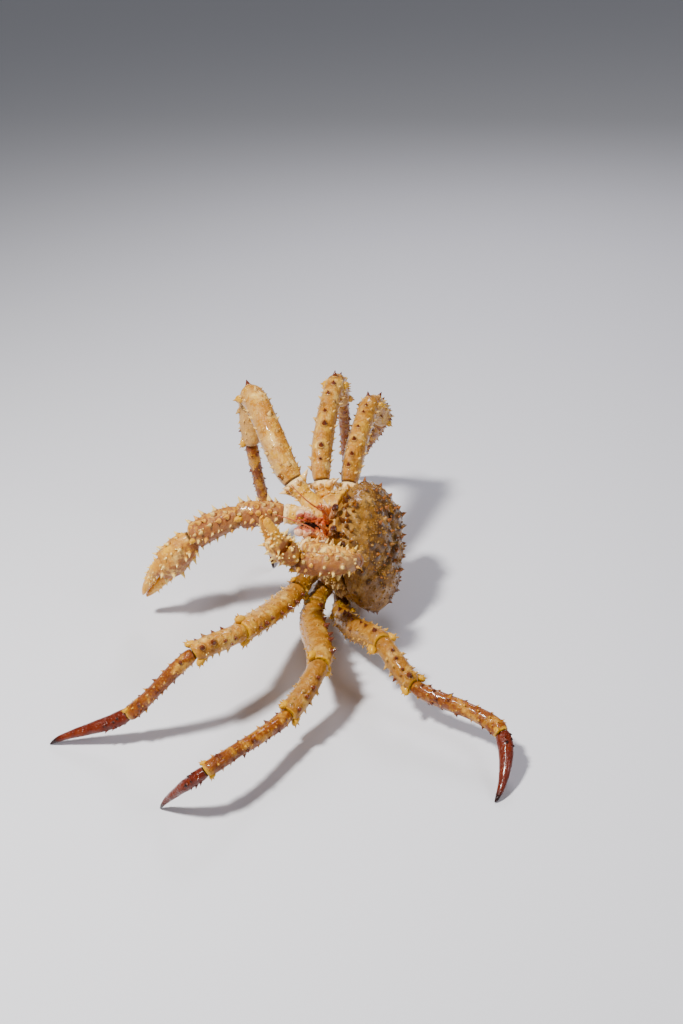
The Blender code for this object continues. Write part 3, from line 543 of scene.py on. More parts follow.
def spine_row(thorns, limb, angle, count, span, height, rng, lean=22.0, wobble=0.16, width=0.46,
              tints=(0.0, 1.0)):
    """A row of spines along a limb, at an angle in degrees from its outer side."""
    shape = bpy.context.scene.crab_shape
    count = max(1, round(count * shape.spine_density))
    start = rng.uniform(0.2, 0.8)
    for k in range(count):
        s = span[0] + (span[1] - span[0]) * (k + start + rng.uniform(-0.2, 0.2)) / count
        turn = math.radians(angle) + rng.uniform(-wobble, wobble)
        points, normals = limb.surface(s, turn)
        way = limb.read(limb.ways, np.array([s]))[0]
        tip = math.radians(lean + rng.uniform(-8, 8))
        heading = unit(math.cos(tip) * normals[0] + math.sin(tip) * way)
        size = height * shape.spine_scale * rng.uniform(0.6, 1.2)
        tint = rng.uniform(*tints)
        radius = size * width * rng.uniform(0.9, 1.15) * (1.25 if tint > 0.5 else 0.95)
        thorns.add(points[0], heading, size, radius, tint, rng.uniform(-0.12, 0.12))


def scatter(thorns, limb, count, span, height, rng, arc=(-180, 180)):
    """Small grains strewn over a limb between its spines."""
    for _ in range(round(count * bpy.context.scene.crab_shape.spine_density)):
        s, turn = rng.uniform(*span), math.radians(rng.uniform(*arc))
        points, normals = limb.surface(s, turn)
        size = height * rng.uniform(0.5, 1.2)
        thorns.add(points[0], normals[0], size, size * 0.75, rng.uniform(0.0, 0.35))


def limb_joints(ways):
    """Facing and hinge direction of each joint along a limb."""
    facings = [ways[0]]
    for incoming, outgoing in zip(ways, ways[1:]):
        facings.append(joint_facing(incoming, outgoing))
    hinges = []
    knee = ways[1].cross(ways[2]).normalized()
    for number, facing in enumerate(facings):
        bend = knee * 0.4
        if 2 <= number < len(ways):
            cross = ways[number - 1].cross(ways[number])
            bend = cross + knee * 0.4 if cross.dot(knee) > 0 else knee * 0.4
        elif number < 2:
            bend = knee
        hinges.append(across(bend, facing))
    hinges.append(across(hinges[-1], ways[-1]))
    return facings, hinges


def leg_line(name):
    """Joint places, facings and hinges of one walking leg, root to tip."""
    side_name, place = name.split("_")
    lengths, pose = LEG_LENGTHS.get(name, LEG_LENGTHS[place]), LEG_POSES[name]
    points = [on_body(LEG_ROOTS[place], 1 if side_name == "left" else -1), on_body(MERUS_STARTS[name])]
    for segment in ("merus", "carpus", "propodus"):
        points.append(points[-1] + direction(*pose[segment]) * lengths[segment] * CARAPACE_LENGTH)
    reach = lengths["dactylus"] * CARAPACE_LENGTH
    slope = -math.degrees(math.asin(min(0.98, points[-1].z / reach)))
    points.append(points[-1] + direction(pose["dactylus"], slope) * reach)
    points[-1].z = TIP_HEIGHT
    ways = [(b - a).normalized() for a, b in zip(points, points[1:])]
    facings, hinges = limb_joints(ways)
    tip_lean = direction(*TIP_LEANS.get(name, (0, -90)))
    facings.append((ways[-1] + TIP_CURL * tip_lean).normalized())
    return points, facings, hinges


# Length, breadth and height of a joint knob, and how far its two spikes lean and reach
KNOB_SHAPE = (1.25, 0.90, 0.82)
KNOB_SPIKES = ((0.9, 1.25), (0.1, 0.9))


def knob(limb, s, angle, size, thorns, material):
    """A polished joint knob with two short spikes on its far corner."""
    points, normals = limb.surface(s, math.radians(angle), 0.98)
    way = limb.read(limb.ways, np.array([s]))[0]
    side = unit(np.cross(way, normals[0]))
    piece = ball("knob", 14, 10)
    co = points_of(piece)
    length, breadth, height = KNOB_SHAPE
    drawn = co[:, :1] * way * length + co[:, 1:2] * side * breadth + co[:, 2:] * normals[0] * height
    lumps = 0.16 * uneven(points[0] + size * drawn, 0.0035, s)[:, None] * co
    shoulder = 0.35 * np.clip(co[:, :1], 0, 1) * normals[0]
    set_points(piece, points[0] + size * (drawn + lumps + shoulder))
    set_value(piece, "knob", 1.0)
    set_value(piece, "along", 0.5)
    smooth(piece, 1)
    for turn, share in KNOB_SPIKES:
        heading = unit(normals[0] + turn * way + 0.25 * side * (0.5 - turn))
        thorns.add(points[0] + heading * size * 0.50, heading, size * share, size * 0.40, KNOB_TINT)
    return paint(piece, material)


def knob_pair(s, angle, size):
    """Place along, angle and size of the knobs on both sides of a segment's end."""
    return (s, angle, size), (s, -angle, size)


def shell_piece(name, limb, material, rows, rng, grains=0, knobs=(), rim=None, mound=0.0005, tone=LEG_TONE,
                grain_size=0.0009, tints=(0.0, 1.0), middle=None, width=0.46):
    """One limb segment with its rows of spines, grains and joint knobs.

    The tints bound its spines' colour draws, and middle does so in its outermost row.
    """
    relief = bpy.context.scene.crab_shape.relief
    skin = draw_out(name, limb, material, relief=relief, seed=rng.uniform(0, 40), tone=tone)
    thorns, strewn = spine_sets()
    for angle, count, span, height, lean in rows:
        row_tints = middle if middle and not angle else tints
        spine_row(thorns, limb, angle, count, span, height, rng, lean, width=width, tints=row_tints)
    if rim:
        s, count, height = rim
        for k in range(count):
            spine_row(thorns, limb, 360 * k / count, 1, (s - 0.04, s + 0.02), height, rng, 20,
                      wobble=0.25, width=0.42, tints=(0.0, 0.4))
    scatter(strewn, limb, grains, (0.06, 0.94), grain_size, rng)
    extras = [knob(limb, *place, thorns, material) for place in knobs]
    piece = dress(skin, (thorns, strewn), name + "_shell", material, mound)
    finish_piece(join([piece] + extras, name + "_shell"), name)


def finish_piece(piece, *nodes):
    """Let a piece ride on the body and stand for its nodes."""
    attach(piece, "root")
    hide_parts(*nodes)


# Rows of spines: angle from the outer side, count, span along the segment, height and lean
MERUS_ROWS = (
    (0, 7, (0.06, 0.98), 0.0058, 16), (38, 6, (0.10, 0.95), 0.0036, 24), (-46, 7, (0.06, 0.95), 0.0038, 24),
    (78, 9, (0.04, 0.93), 0.0044, 26), (-86, 9, (0.04, 0.93), 0.0044, 26),
    (125, 7, (0.08, 0.88), 0.0030, 24), (-125, 7, (0.08, 0.88), 0.0030, 24))
CARPUS_ROWS = (
    (0, 4, (0.22, 0.96), 0.0058, 18), (42, 3, (0.25, 0.95), 0.0040, 22), (-42, 4, (0.25, 0.95), 0.0042, 22),
    (84, 4, (0.30, 0.95), 0.0044, 24), (-84, 4, (0.30, 0.95), 0.0044, 24),
    (128, 3, (0.40, 0.90), 0.0030, 22), (-128, 3, (0.40, 0.90), 0.0030, 22))
PROPODUS_ROWS = (
    (0, 7, (0.08, 0.95), 0.0034, 30), (50, 7, (0.10, 0.93), 0.0032, 30), (-50, 7, (0.10, 0.93), 0.0032, 30),
    (98, 7, (0.08, 0.94), 0.0032, 30), (-98, 7, (0.08, 0.94), 0.0032, 30),
    (145, 6, (0.10, 0.92), 0.0026, 32), (-145, 6, (0.10, 0.92), 0.0026, 32))
DACTYLUS_ROWS = (
    (0, 3, (0.06, 0.30), 0.0030, 40), (60, 3, (0.06, 0.30), 0.0026, 40), (-60, 3, (0.06, 0.30), 0.0026, 40),
    (172, 9, (0.14, 0.86), 0.0013, 50))
COXA_ROWS = tuple((angle, 2, (0.60, 0.90), 0.0042, 26) for angle in (-150, -100, -50, 0, 50, 100, 150))
# Crown of spines round a root's end: place along, count and height, on raised and on low legs
RAISED_CROWN = (0.92, 9, 0.0100)
LOW_CROWN = (0.95, 6, 0.0040)
# Colour draws of the outermost row: pale on the front right leg, dark tipped on the others
PALE_ROW = (0.0, 0.7)
DARK_ROW = (0.60, 1.0)


def build_leg(name):
    """The five pieces of one walking leg."""
    rng = random.Random(SEED + list(LEG_POSES).index(name))
    line = leg_line(name)
    broad = name == "right_front"
    sizes = dict(SEGMENT_SIZES, merus=BROAD_MERUS) if broad else SEGMENT_SIZES

    def limb(number, kind):
        """The bar of one segment."""
        return segment_limb(line, number, kind, sizes[kind])

    # The raised legs show a thick crown of spikes round the end of the root, the low ones hardly any
    raised = name.startswith("right")
    # The low legs' roots take a very dark copy of the root shell: painted shade under the body
    root_shell = "Leg root shell" if raised else "Painted shade root shell"
    root_rows, rim = (COXA_ROWS, RAISED_CROWN) if raised else ((), LOW_CROWN)
    # The middle and back left legs take a darker copy of the leg shell: painted shade, as they lie in shadow
    shell = "Painted shade leg shell" if name in ("left_middle", "left_back") else "Leg shell"
    middle = PALE_ROW if broad else DARK_ROW
    shell_piece(f"{name}_coxa", limb(0, "coxa"), root_shell, root_rows, rng, 30,
                knob_pair(0.92, 90, 0.0034), rim, grain_size=0.0013, tints=(0.0, 0.44))
    shell_piece(f"{name}_merus", limb(1, "merus"), shell, MERUS_ROWS, rng, 50,
                knob_pair(0.965, 90, 0.0058), tints=(0.0, 0.60), middle=middle)
    shell_piece(f"{name}_carpus", limb(2, "carpus"), shell, CARPUS_ROWS, rng, 24,
                knob_pair(0.96, 84, 0.0048), tints=(0.0, 0.68), middle=middle)
    shell_piece(f"{name}_propodus", limb(3, "propodus"), "Lower leg shell", PROPODUS_ROWS, rng, 30,
                knob_pair(0.97, 88, 0.0031))
    shell_piece(f"{name}_dactylus", limb(4, "dactylus"), "Leg tip horn", DACTYLUS_ROWS, rng, mound=0.0002)


def edge_reach(angle):
    """Distance of the carapace edge at angles in degrees from straight ahead."""
    angle = np.abs((np.asarray(angle, float) + 180) % 360 - 180)
    marks = np.array([a for a, _ in CARAPACE_EDGE], float)
    reaches = np.array([r for _, r in CARAPACE_EDGE])
    index = np.clip(np.searchsorted(marks, angle) - 1, 0, len(marks) - 2)
    share = (angle - marks[index]) / (marks[index + 1] - marks[index])
    return reaches[index] + (reaches[index + 1] - reaches[index]) * (1 - np.cos(np.pi * share)) / 2


def bump(ahead, left, centre, spread):
    """Smooth swelling of height one."""
    return np.exp(-((ahead - centre[0]) / spread[0]) ** 2 - ((left - centre[1]) / spread[1]) ** 2)


def back_height(ahead, left):
    """Height of the back above the body's middle plane."""
    outward = np.minimum(1.0, np.hypot(ahead, left) / edge_reach(np.degrees(np.arctan2(left, ahead))))
    dome = CARAPACE_DOME * (1 - outward ** 2.4) ** 0.55
    width = np.abs(left)
    lobes = (0.050 * bump(ahead, left, (0.19, 0), (0.17, 0.14))
             + 0.036 * bump(ahead, left, (-0.15, 0), (0.11, 0.08))
             + 0.050 * bump(ahead, width, (-0.12, 0.30), (0.18, 0.13)))
    neck = ahead + 0.03 - 1.5 * left * left
    grooves = 0.036 * np.exp(-(neck / 0.028) ** 2)
    grooves = grooves + 0.030 * bump(ahead, width, (-0.17, 0.135), (0.14, 0.028))
    return CARAPACE_EDGE_HEIGHT + dome + (lobes - grooves) * (1 - outward ** 3)


def body_points(rows):
    """Places of rows of points given in the body frame."""
    return np.array(BODY_CENTRE) + CARAPACE_LENGTH * np.asarray(rows) @ BODY_MATRIX


def back_spot(ahead, left):
    """A place on the back and its outward normal."""
    step = 0.008
    flat = [(ahead, left), (ahead + step, left), (ahead, left + step)]
    rows = [np.array((a, b, float(back_height(np.array(a), np.array(b))))) for a, b in flat]
    normal = unit(np.cross(rows[1] - rows[0], rows[2] - rows[0]))
    return body_points(rows[:1])[0], normal @ BODY_MATRIX


# Spines of the back and of its edge: spacing and height in carapace lengths, and number
BACK_PITCH = 0.096
BACK_SPINE = 0.044
BACK_GRAINS = 520
EDGE_TEETH = 40
EDGE_ARC = 168
FRONT_TOOTH = 0.050
REAR_TOOTH = 0.036
# Where the carapace starts to turn in under its edge, as a share of the lower half
EDGE_TURN = 0.06


def carapace_skin():
    """The bare back shell with its regions and grooves, turned in under its edge."""
    skin = ball("carapace_skin", 144, 96)
    along, angle = ball_places(skin)
    reach = edge_reach(np.degrees(angle))
    outward = np.sin(np.minimum(along, 0.5) * math.pi) ** 0.9
    top = along <= 0.5
    ahead, left = reach * outward * np.cos(angle), reach * outward * np.sin(angle)
    height = back_height(ahead, left)
    below = np.clip((along - 0.5) / 0.5, 0, 1)
    drop = np.clip(below / EDGE_TURN, 0, 1)
    inward = 0.90 * np.clip((1 - below) / (1 - EDGE_TURN), 0, 1) ** 0.7
    under_reach = np.where(below < EDGE_TURN, 1 - 0.10 * drop ** 2, inward)
    ahead = np.where(top, ahead, reach * under_reach * np.cos(angle))
    left = np.where(top, left, reach * under_reach * np.sin(angle))
    floor = CARAPACE_FLOOR + 0.001
    under_height = CARAPACE_EDGE_HEIGHT + (floor - CARAPACE_EDGE_HEIGHT) * np.sin(drop * math.pi / 2)
    height = np.where(top, height, under_height)
    points = body_points(np.stack([ahead, left, height], axis=1))
    lift = np.where(top, 1.0, 0.0) * (1 - np.clip(outward, 0, 1) ** 8)
    swell = uneven(points, 0.012, 3.0) + 0.4 * uneven(points, 0.005, 5.0)
    points = points + (swell * lift * 0.0008)[:, None] * np.array(UP)
    set_points(skin, points)
    set_value(skin, "along", outward)
    paint(skin, "Back shell")
    smooth(skin, bpy.context.scene.crab_shape.smoothness)
    return skin


def back_spines(thorns, rng):
    """Spines over the whole back, in uneven rows."""
    shape = bpy.context.scene.crab_shape
    pitch = BACK_PITCH / shape.spine_density
    rows = int(1.1 / pitch)
    for row in range(-rows, rows + 1):
        for column in range(-rows, rows + 1):
            ahead = row * pitch * 0.87 + rng.uniform(-0.02, 0.02)
            left = (column + 0.5 * (row % 2)) * pitch + rng.uniform(-0.02, 0.02)
            share = math.hypot(ahead, left) / float(edge_reach(math.degrees(math.atan2(left, ahead))))
            if share > 0.93:
                continue
            point, normal = back_spot(ahead, left)
            heading = unit(normal + 0.22 * np.array(FORWARD))
            low_side = 0.75 if left > 0.22 else 1.0
            size = BACK_SPINE * CARAPACE_LENGTH * rng.uniform(0.6, 1.15) * shape.spine_scale * low_side
            tint = rng.uniform(0.0, 0.8) if ahead > 0.26 else rng.uniform(0.3, 1.0)
            thorns.add(point, heading, size, size * 0.60, tint, rng.uniform(-0.1, 0.1))


def back_grains(strewn, rng):
    """Small grains strewn over the back."""
    for _ in range(round(BACK_GRAINS * bpy.context.scene.crab_shape.spine_density)):
        turn, share = rng.uniform(-math.pi, math.pi), rng.random() ** 0.5 * 0.97
        reach = float(edge_reach(math.degrees(turn))) * share
        point, normal = back_spot(reach * math.cos(turn), reach * math.sin(turn))
        size = rng.uniform(0.0007, 0.0016)
        strewn.add(point, normal, size, size * 0.85, rng.uniform(0.0, 0.3))


def edge_teeth(thorns, rng):
    """Spines round the edge of the carapace, every other one smaller, but not at the beak."""
    for k in range(EDGE_TEETH):
        angle = -EDGE_ARC + 2 * EDGE_ARC * k / (EDGE_TEETH - 1) + rng.uniform(-1.5, 1.5)
        if abs(angle) < 8:
            continue
        turn = math.radians(angle)
        reach = float(edge_reach(angle)) * 0.985
        natural = (FRONT_TOOTH if abs(angle) < 80 else REAR_TOOTH) * CARAPACE_LENGTH
        size = natural * rng.uniform(0.7, 1.15) * (1 if k % 2 else 0.75)
        point = body_points([(reach * math.cos(turn), reach * math.sin(turn), CARAPACE_EDGE_HEIGHT)])[0]
        heading = unit(np.array((math.cos(turn), math.sin(turn), rng.uniform(0.05, 0.25)))) @ BODY_MATRIX
        thorns.add(point, heading, size, size * 0.42, rng.random(), rng.uniform(-0.1, 0.1))


def front_spines(thorns):
    """The beak between the eyes, the spine above it and those over the eyes."""
    forward, left, up = np.array(FORWARD), np.array(LEFT), np.array(UP)
    beak_root, crest_root = body_points([(0.44, 0, -0.03), (0.455, 0, 0.0)])
    thorns.add(beak_root, unit(forward + 0.10 * up), 0.14 * CARAPACE_LENGTH, 0.0046, 0.9, 0.0)
    thorns.add(crest_root, unit(forward + 0.75 * up), 0.010, 0.0036, 0.9, 0.0)
    for side in (-1, 1):
        for ahead, out, height, lean, rise, size in BROW_SPINES:
            way = unit(forward + lean * side * left + rise * up)
            place = body_points([(ahead, side * out, height)])[0]
            thorns.add(place, way, size * 1.45, size * 0.46, BROW_TINT)


def build_carapace():
    """The back shell with its spines, grains, edge teeth and beak."""
    rng = random.Random(SEED)
    skin = carapace_skin()
    thorns, strewn = spine_sets(9)
    back_spines(thorns, rng)
    back_grains(strewn, rng)
    edge_teeth(thorns, rng)
    front_spines(thorns)
    finish_piece(dress(skin, (thorns, strewn), "carapace_shell", "Back shell", 0.0018, 2.3), "carapace")


def underside_levels(height):
    """Front, back and half width of the underside at rows of heights."""
    marks = [level[0] for level in reversed(THORAX_LEVELS)]
    return [np.interp(height, marks, [level[k] for level in reversed(THORAX_LEVELS)]) for k in (1, 2, 3)]


def oblong(turns, front, back, half):
    """Distance ahead and to the left on a rounded oblong."""
    c, s = np.cos(turns), np.sin(turns)
    ahead = (front + back) / 2 + (front - back) / 2 * np.sign(c) * np.abs(c) ** 0.78
    return ahead, half * np.sign(s) * np.abs(s) ** 0.78


# Height of the underside's top and how far it reaches down
UNDERSIDE_TOP = -0.1225
UNDERSIDE_DEPTH = 0.3370
UNDERSIDE_SPINES = 300
# Places, counted ahead, of the furrows between the leg roots
FURROWS = (0.22, 0.02, -0.13, -0.28)


def underside_skin():
    """The body below the carapace: swollen round the leg roots, with the slit of the mouth."""
    body = ball("thorax_body", 176, 72)
    along, turns = ball_places(body)
    # Points stand closest together at the front, where the mouth is
    turns = turns - 0.6 * np.sin(turns)
    cap = 0.07
    level = np.clip((along - cap) / (1 - 2 * cap), 0, 1)
    height = UNDERSIDE_TOP - UNDERSIDE_DEPTH * level
    share = np.sin(np.minimum(1, np.minimum(along, 1 - along) / cap) * math.pi / 2)
    front, back, half = underside_levels(height)
    ahead, left = oblong(turns, front, back, half)
    middle = (front + back) / 2
    ahead, left = middle + (ahead - middle) * share, left * share
    hollow = np.exp(-(left / 0.082) ** 4 - ((height - MOUTH_HEIGHT) / 0.11) ** 4) * (ahead > 0.2)
    ahead = ahead - 0.14 * hollow
    # Furrows run between the leg roots, and one along the middle of the breast
    outward = np.clip((np.abs(left) - 0.12) / 0.2, 0, 1)
    furrows = sum(np.exp(-((ahead - 0.1 * (place > 0) - place) / 0.022) ** 2) for place in FURROWS)
    breast = np.clip((-0.40 - height) / 0.05, 0, 1) * np.exp(-(left / 0.018) ** 2)
    left = left - np.sign(left) * 0.020 * furrows * outward
    height = height + 0.020 * breast + 0.012 * furrows * np.clip((-0.42 - height) / 0.03, 0, 1)
    points = body_points(np.stack([ahead, left, height], axis=1))
    swell = uneven(points, 0.012, 9.0) * 0.0007 + uneven(points, 0.005, 2.0) * 0.0003
    set_points(body, points + swell[:, None] * unit(points - np.array(BODY_CENTRE)))
    set_value(body, "hollow", hollow)
    # Painted shade: the side towards the floor is made the darker one
    set_value(body, "outer", 1.2 - np.clip((left - 0.08) / 0.22, 0, 1.2))
    smooth(body, bpy.context.scene.crab_shape.smoothness)
    return paint(body, "Underside shell")


def build_underside():
    """The body below the carapace with its small spines."""
    rng = random.Random(SEED + 5)
    body = underside_skin()
    thorns, strewn = spine_sets()
    for _ in range(round(UNDERSIDE_SPINES * bpy.context.scene.crab_shape.spine_density)):
        turn, height = math.radians(rng.uniform(22, 172)) * rng.choice((-1, 1)), rng.uniform(-0.27, -0.135)
        ahead, left = oblong(turn, *underside_levels(height))
        point = body_points([(ahead, left * 0.995, height)])[0]
        way = unit(np.array((math.cos(turn), math.sin(turn), rng.uniform(-0.2, 0.3)))) @ BODY_MATRIX
        size = rng.uniform(0.0014, 0.0046)
        group = thorns if size > 0.0022 else strewn
        group.add(point, way, size, size * 0.48, rng.random() * 0.45)
    finish_piece(dress(body, (thorns, strewn), "thorax_shell", "Underside shell"), "thorax")


# Tail flap, root to tip: place ahead, half width, half depth and height of its middle
ABDOMEN_STATIONS = ((-0.40, 0.155, 0.066, -0.245), (-0.41, 0.195, 0.086, -0.33), (-0.36, 0.215, 0.096, -0.44),
                    (-0.24, 0.195, 0.081, -0.52), (-0.08, 0.145, 0.056, -0.545), (0.055, 0.075, 0.032, -0.53))
ABDOMEN_PLATES = 6


def build_abdomen():
    """The tail flap: overlapping plates bent round under the body."""
    middles = [np.array((ahead, 0.0, middle)) for ahead, _, _, middle in ABDOMEN_STATIONS]
    outers, sizes = [], []
    for ahead, half, depth, _ in ABDOMEN_STATIONS:
        tilt = math.radians(90 * min(1.0, max(0.0, -ahead / 0.41)))
        outers.append(np.array((-math.sin(tilt), 0, -math.cos(tilt))) @ BODY_MATRIX)
        sizes.append((depth * CARAPACE_LENGTH, half * CARAPACE_LENGTH))
    limb = Limb(body_points(middles), outers, sizes)
    # Each plate's rim stands proud of the next one's root
    steps = (limb.places * ABDOMEN_PLATES) % 1.0
    limb.sizes = limb.sizes * (0.95 + 0.07 * steps ** 3)[:, None]
    # The flap's side turned in against the body takes the underside's dark side colour: painted shade
    skin = draw_out("abdomen_skin", limb, "Underside shell", 48, 120, 0.0004, 12.0, tone=(0.8, -0.4 * UP))
    thorns, strewn = spine_sets()
    rng = random.Random(SEED + 6)
    for angle in (-60, -30, 0, 30, 60):
        spine_row(thorns, limb, angle, 6, (0.10, 0.95), 0.0026, rng, tints=(0.0, 0.5))
    scatter(strewn, limb, 160, (0.05, 0.95), 0.0009, rng, (-80, 80))
    finish_piece(dress(skin, (thorns, strewn), "abdomen_flap", "Underside shell"), "abdomen")


# Stations of the palm, and of both fingers: place along, share of the depth, share of the width
PALM_STATIONS = ((0.0, 0.56), (0.08, 0.72), (0.22, 0.92), (0.5, 1.03), (0.80, 0.98))
FIXED_FINGER = ((0.06, 1.22, 1.5), (0.22, 1.0, 1.1), (0.45, 0.88, 1.05), (0.7, 0.64, 0.95),
                (0.88, 0.42, 0.8), (0.955, 0.26, 0.6))
MOVING_FINGER = ((0.0, 0.85, 1.0), (0.1, 1.0, 1.1), (0.3, 0.95, 1.05), (0.6, 0.74, 0.95),
                 (0.85, 0.46, 0.8), (0.99, 0.22, 0.5))


def hand_limbs(points, ways, facings, hinges, scale):
    """Bars of the palm with its fixed finger, and of the movable finger."""
    wrist, knuckle, tip = points[3:6]
    spread = hinges[4].cross(ways[4]).normalized()
    depth, width = (size * scale for size in SEGMENT_SIZES["palm"])
    finger_depth, finger_width = (size * scale for size in SEGMENT_SIZES["finger"])
    facing = facings[3]
    start = wrist + facing * JOINT_GAP / 2
    length, reach = (knuckle - wrist).length, (tip - knuckle).length
    outward = across(spread, ways[4])
    palm = []
    for share, swell in PALM_STATIONS:
        way = facing.lerp(ways[3], min(1.0, 2 * share)).lerp(ways[4], max(0.0, 2 * share - 1)).normalized()
        middle = start + facing * length * share * (1 - share) * 0.3 + (knuckle - start) * share
        palm.append((middle, across(spread, way), (depth * swell, width * swell)))

    def finger(stations, sign, gap):
        """Stations of one finger, on its side of the bite."""
        rows = []
        for share, swell, wide in stations:
            bow = math.sin(math.pi * share) * FINGER_BOW - FINGER_CLOSE * share * share
            lift = FINGER_HALF_GAP * scale + finger_depth * (FINGER_LIFT + bow)
            middle = knuckle + ways[4] * reach * share + outward * sign * lift + ways[4] * gap
            rows.append((middle, outward, (finger_depth * swell, finger_width * wide)))
        return rows

    return Limb(*zip(*palm, *finger(FIXED_FINGER, -1, 0.0))), Limb(*zip(*finger(MOVING_FINGER, 1, JOINT_GAP)))


def finger_teeth(thorns, limb, angle, span, count, size):
    """Blunt pale teeth along the biting edge of a finger."""
    for k in range(count):
        s = span[0] + (span[1] - span[0]) * (k + 0.5) / count
        points, normals = limb.surface(s, math.radians(angle), 0.9)
        thorns.add(points[0], normals[0], size * (1.1 if k % 2 else 0.8), size * 0.9, TOOTH_TINT)


# Height of the claws' spines in metres, and its share in each row: angle from the outer side, share
CLAW_SPINE = 0.0074
CLAW_TOOTH = 0.0011
ARM_ROWS = ((0, 1.1), (36, 0.95), (-36, 0.95), (72, 1.0), (-72, 1.0), (108, 0.9), (-108, 0.9), (150, 0.7),
            (-150, 0.7))
PALM_ROWS = ((0, 0.8), (40, 1.0), (-40, 1.0), (85, 1.0), (-85, 1.0), (130, 0.9), (-130, 0.9), (180, 0.9))


def build_claw(name):
    """The five pieces of one claw arm."""
    rng = random.Random(SEED + (20 if name == "right" else 30))
    relief = bpy.context.scene.crab_shape.relief
    places, scale = (RIGHT_CLAW if name == "right" else LEFT_CLAW), CLAW_SCALES[name]
    points = [on_body(place) for place in places]
    ways = [(b - a).normalized() for a, b in zip(points, points[1:])]
    facings, hinges = limb_joints(ways)

    def limb(number, kind):
        """The bar of one segment."""
        size = [half * scale for half in SEGMENT_SIZES[kind]]
        return segment_limb((points, facings, hinges), number, kind, size)

    tall = CLAW_SPINE * scale
    rows = [(angle, 5, (0.06, 0.96), tall * share, 18) for angle, share in ARM_ROWS]
    arm = {"mound": 0.0006, "tone": CLAW_SHADE_TONE, "grain_size": 0.0014, "width": 0.38}
    shell_piece(f"{name}_claw_coxa", limb(0, "claw_coxa"), "Leg root shell", (), rng, 50,
                rim=(0.9, 8, 0.0034), grain_size=0.0013)
    shell_piece(f"{name}_claw_merus", limb(1, "claw_merus"), "Claw shell", rows, rng, 24,
                knob_pair(0.96, 90, 0.0042 * scale), **arm)
    shell_piece(f"{name}_claw_carpus", limb(2, "claw_carpus"), "Claw shell", rows, rng, 24,
                knob_pair(0.96, 90, 0.0038 * scale), **arm)
    palm, finger = hand_limbs(points, ways, facings, hinges, scale)
    thorns, strewn = spine_sets()
    for angle, share in PALM_ROWS:
        spine_row(thorns, palm, angle, 5, (0.06, 0.56), tall * share, rng, 18, width=0.40, tints=(0, 0.5))
    for angle in (90, 130, 180, -130, -90):
        spine_row(thorns, palm, angle, 3, (0.56, 0.80), tall * 0.5, rng, 25, tints=(0, 0.5))
    finger_teeth(thorns, palm, 0, (0.66, 0.94), 7, CLAW_TOOTH * scale)
    scatter(strewn, palm, 40, (0.06, 0.8), 0.0014, rng)
    skin = draw_out(f"{name}_palm_skin", palm, "Hand shell", 36, 60, relief, rng.uniform(0, 40),
                    tone=CLAW_SHADE_TONE)
    piece = dress(skin, (thorns, strewn), f"{name}_claw_palm_shell", "Hand shell", 0.0006)
    finish_piece(piece, f"{name}_claw_palm")
    thorns, strewn = spine_sets()
    for angle in (90, 40, 0, -40, -90):
        spine_row(thorns, finger, angle, 4, (0.06, 0.72), tall * 0.48, rng, 25, tints=(0, 0.5))
    finger_teeth(thorns, finger, 180, (0.2, 0.94), 9, CLAW_TOOTH * scale)
    scatter(strewn, finger, 16, (0.06, 0.7), 0.0010, rng)
    skin = draw_out(f"{name}_finger_skin", finger, "Claw finger", 28, 44, relief * 0.6, rng.uniform(0, 40),
                    tone=CLAW_SHADE_TONE)
    piece = dress(skin, (thorns, strewn), f"{name}_claw_finger_shell", "Claw finger")
    finish_piece(piece, f"{name}_claw_finger")


def bend_through(first, second, third, count):
    """Points on a smooth bend from the first point to the third."""
    shares = [k / (count - 1) for k in range(count)]
    return [(1 - t) ** 2 * first + 2 * t * (1 - t) * second + t * t * third for t in shares]


def bar_outer(way):
    """An outward direction for a bar that runs this way."""
    return across(UP if abs(way.dot(UP)) < 0.9 else LEFT, way)


def round_limb(points, radii):
    """A bar with a round section through a few points."""
    last = len(points) - 1
    ways = [(points[min(k + 1, last)] - points[max(k - 1, 0)]).normalized() for k in range(last + 1)]
    return Limb(points, [bar_outer(way) for way in ways], [(r, r) for r in radii])


def jointed(name, places, radii, material, side, flat=1.0):
    """A chain of short segments through body places, each swollen at its far end."""
    points = [on_body(place, side) for place in places]
    pieces = []
    for near, far, first, last in zip(points, points[1:], radii, radii[1:]):
        outer = bar_outer((far - near).normalized())
        stations = [near.lerp(far, share) for share in (0.0, 0.12, 0.45, 0.82, 0.98)]
        swell = (0.74 * first, 0.95 * first, 0.48 * (first + last), 1.08 * last, 0.84 * last)
        limb = Limb(stations, [outer] * 5, [(r * flat, r) for r in swell])
        pieces.append(draw_out(name, limb, material, 16, 22, 0.00012, 3.0, levels=1))
    return join(pieces, name)


def pod(name, places, radii, material, side):
    """One smooth, swollen segment through a few body places."""
    limb = round_limb([on_body(place, side) for place in places], radii)
    return draw_out(name, limb, material, 20, 26, 0.0003, 5.0, levels=1, tone=(0.0, side * LEFT))


def head_spines(name, rows, material, side):
    """Single spines near the mouth: place, direction and height in the body frame."""
    thorns = Thorns()
    for place, (ahead, left, up), height in rows:
        heading = unit(np.array((ahead, side * left, up))) @ BODY_MATRIX
        thorns.add(np.array(on_body(place, side)), heading, height, height * 0.30, 0.1)
    return thorns.build(name, material)


def fringe(name, line, count, length, way, rng, side):
    """A fringe of bristles along a line of body places."""
    hairs = Thorns(Thorns.BRISTLE, 3)
    for _ in range(count):
        number = rng.randrange(len(line) - 1)
        start, end = (np.array(on_body(place, side)) for place in line[number:number + 2])
        spread = np.array([rng.uniform(-0.5, 0.5) for _ in range(3)])
        ahead, left, up = way
        heading = unit(np.array((ahead, side * left, up)) + spread) @ BODY_MATRIX
        foot = start + (end - start) * rng.random()
        hairs.add(foot, heading, length * rng.uniform(0.6, 1.2), 0.00022, 0.0, rng.uniform(-0.3, 0.3))
    return hairs.build(name, "Mouthparts")


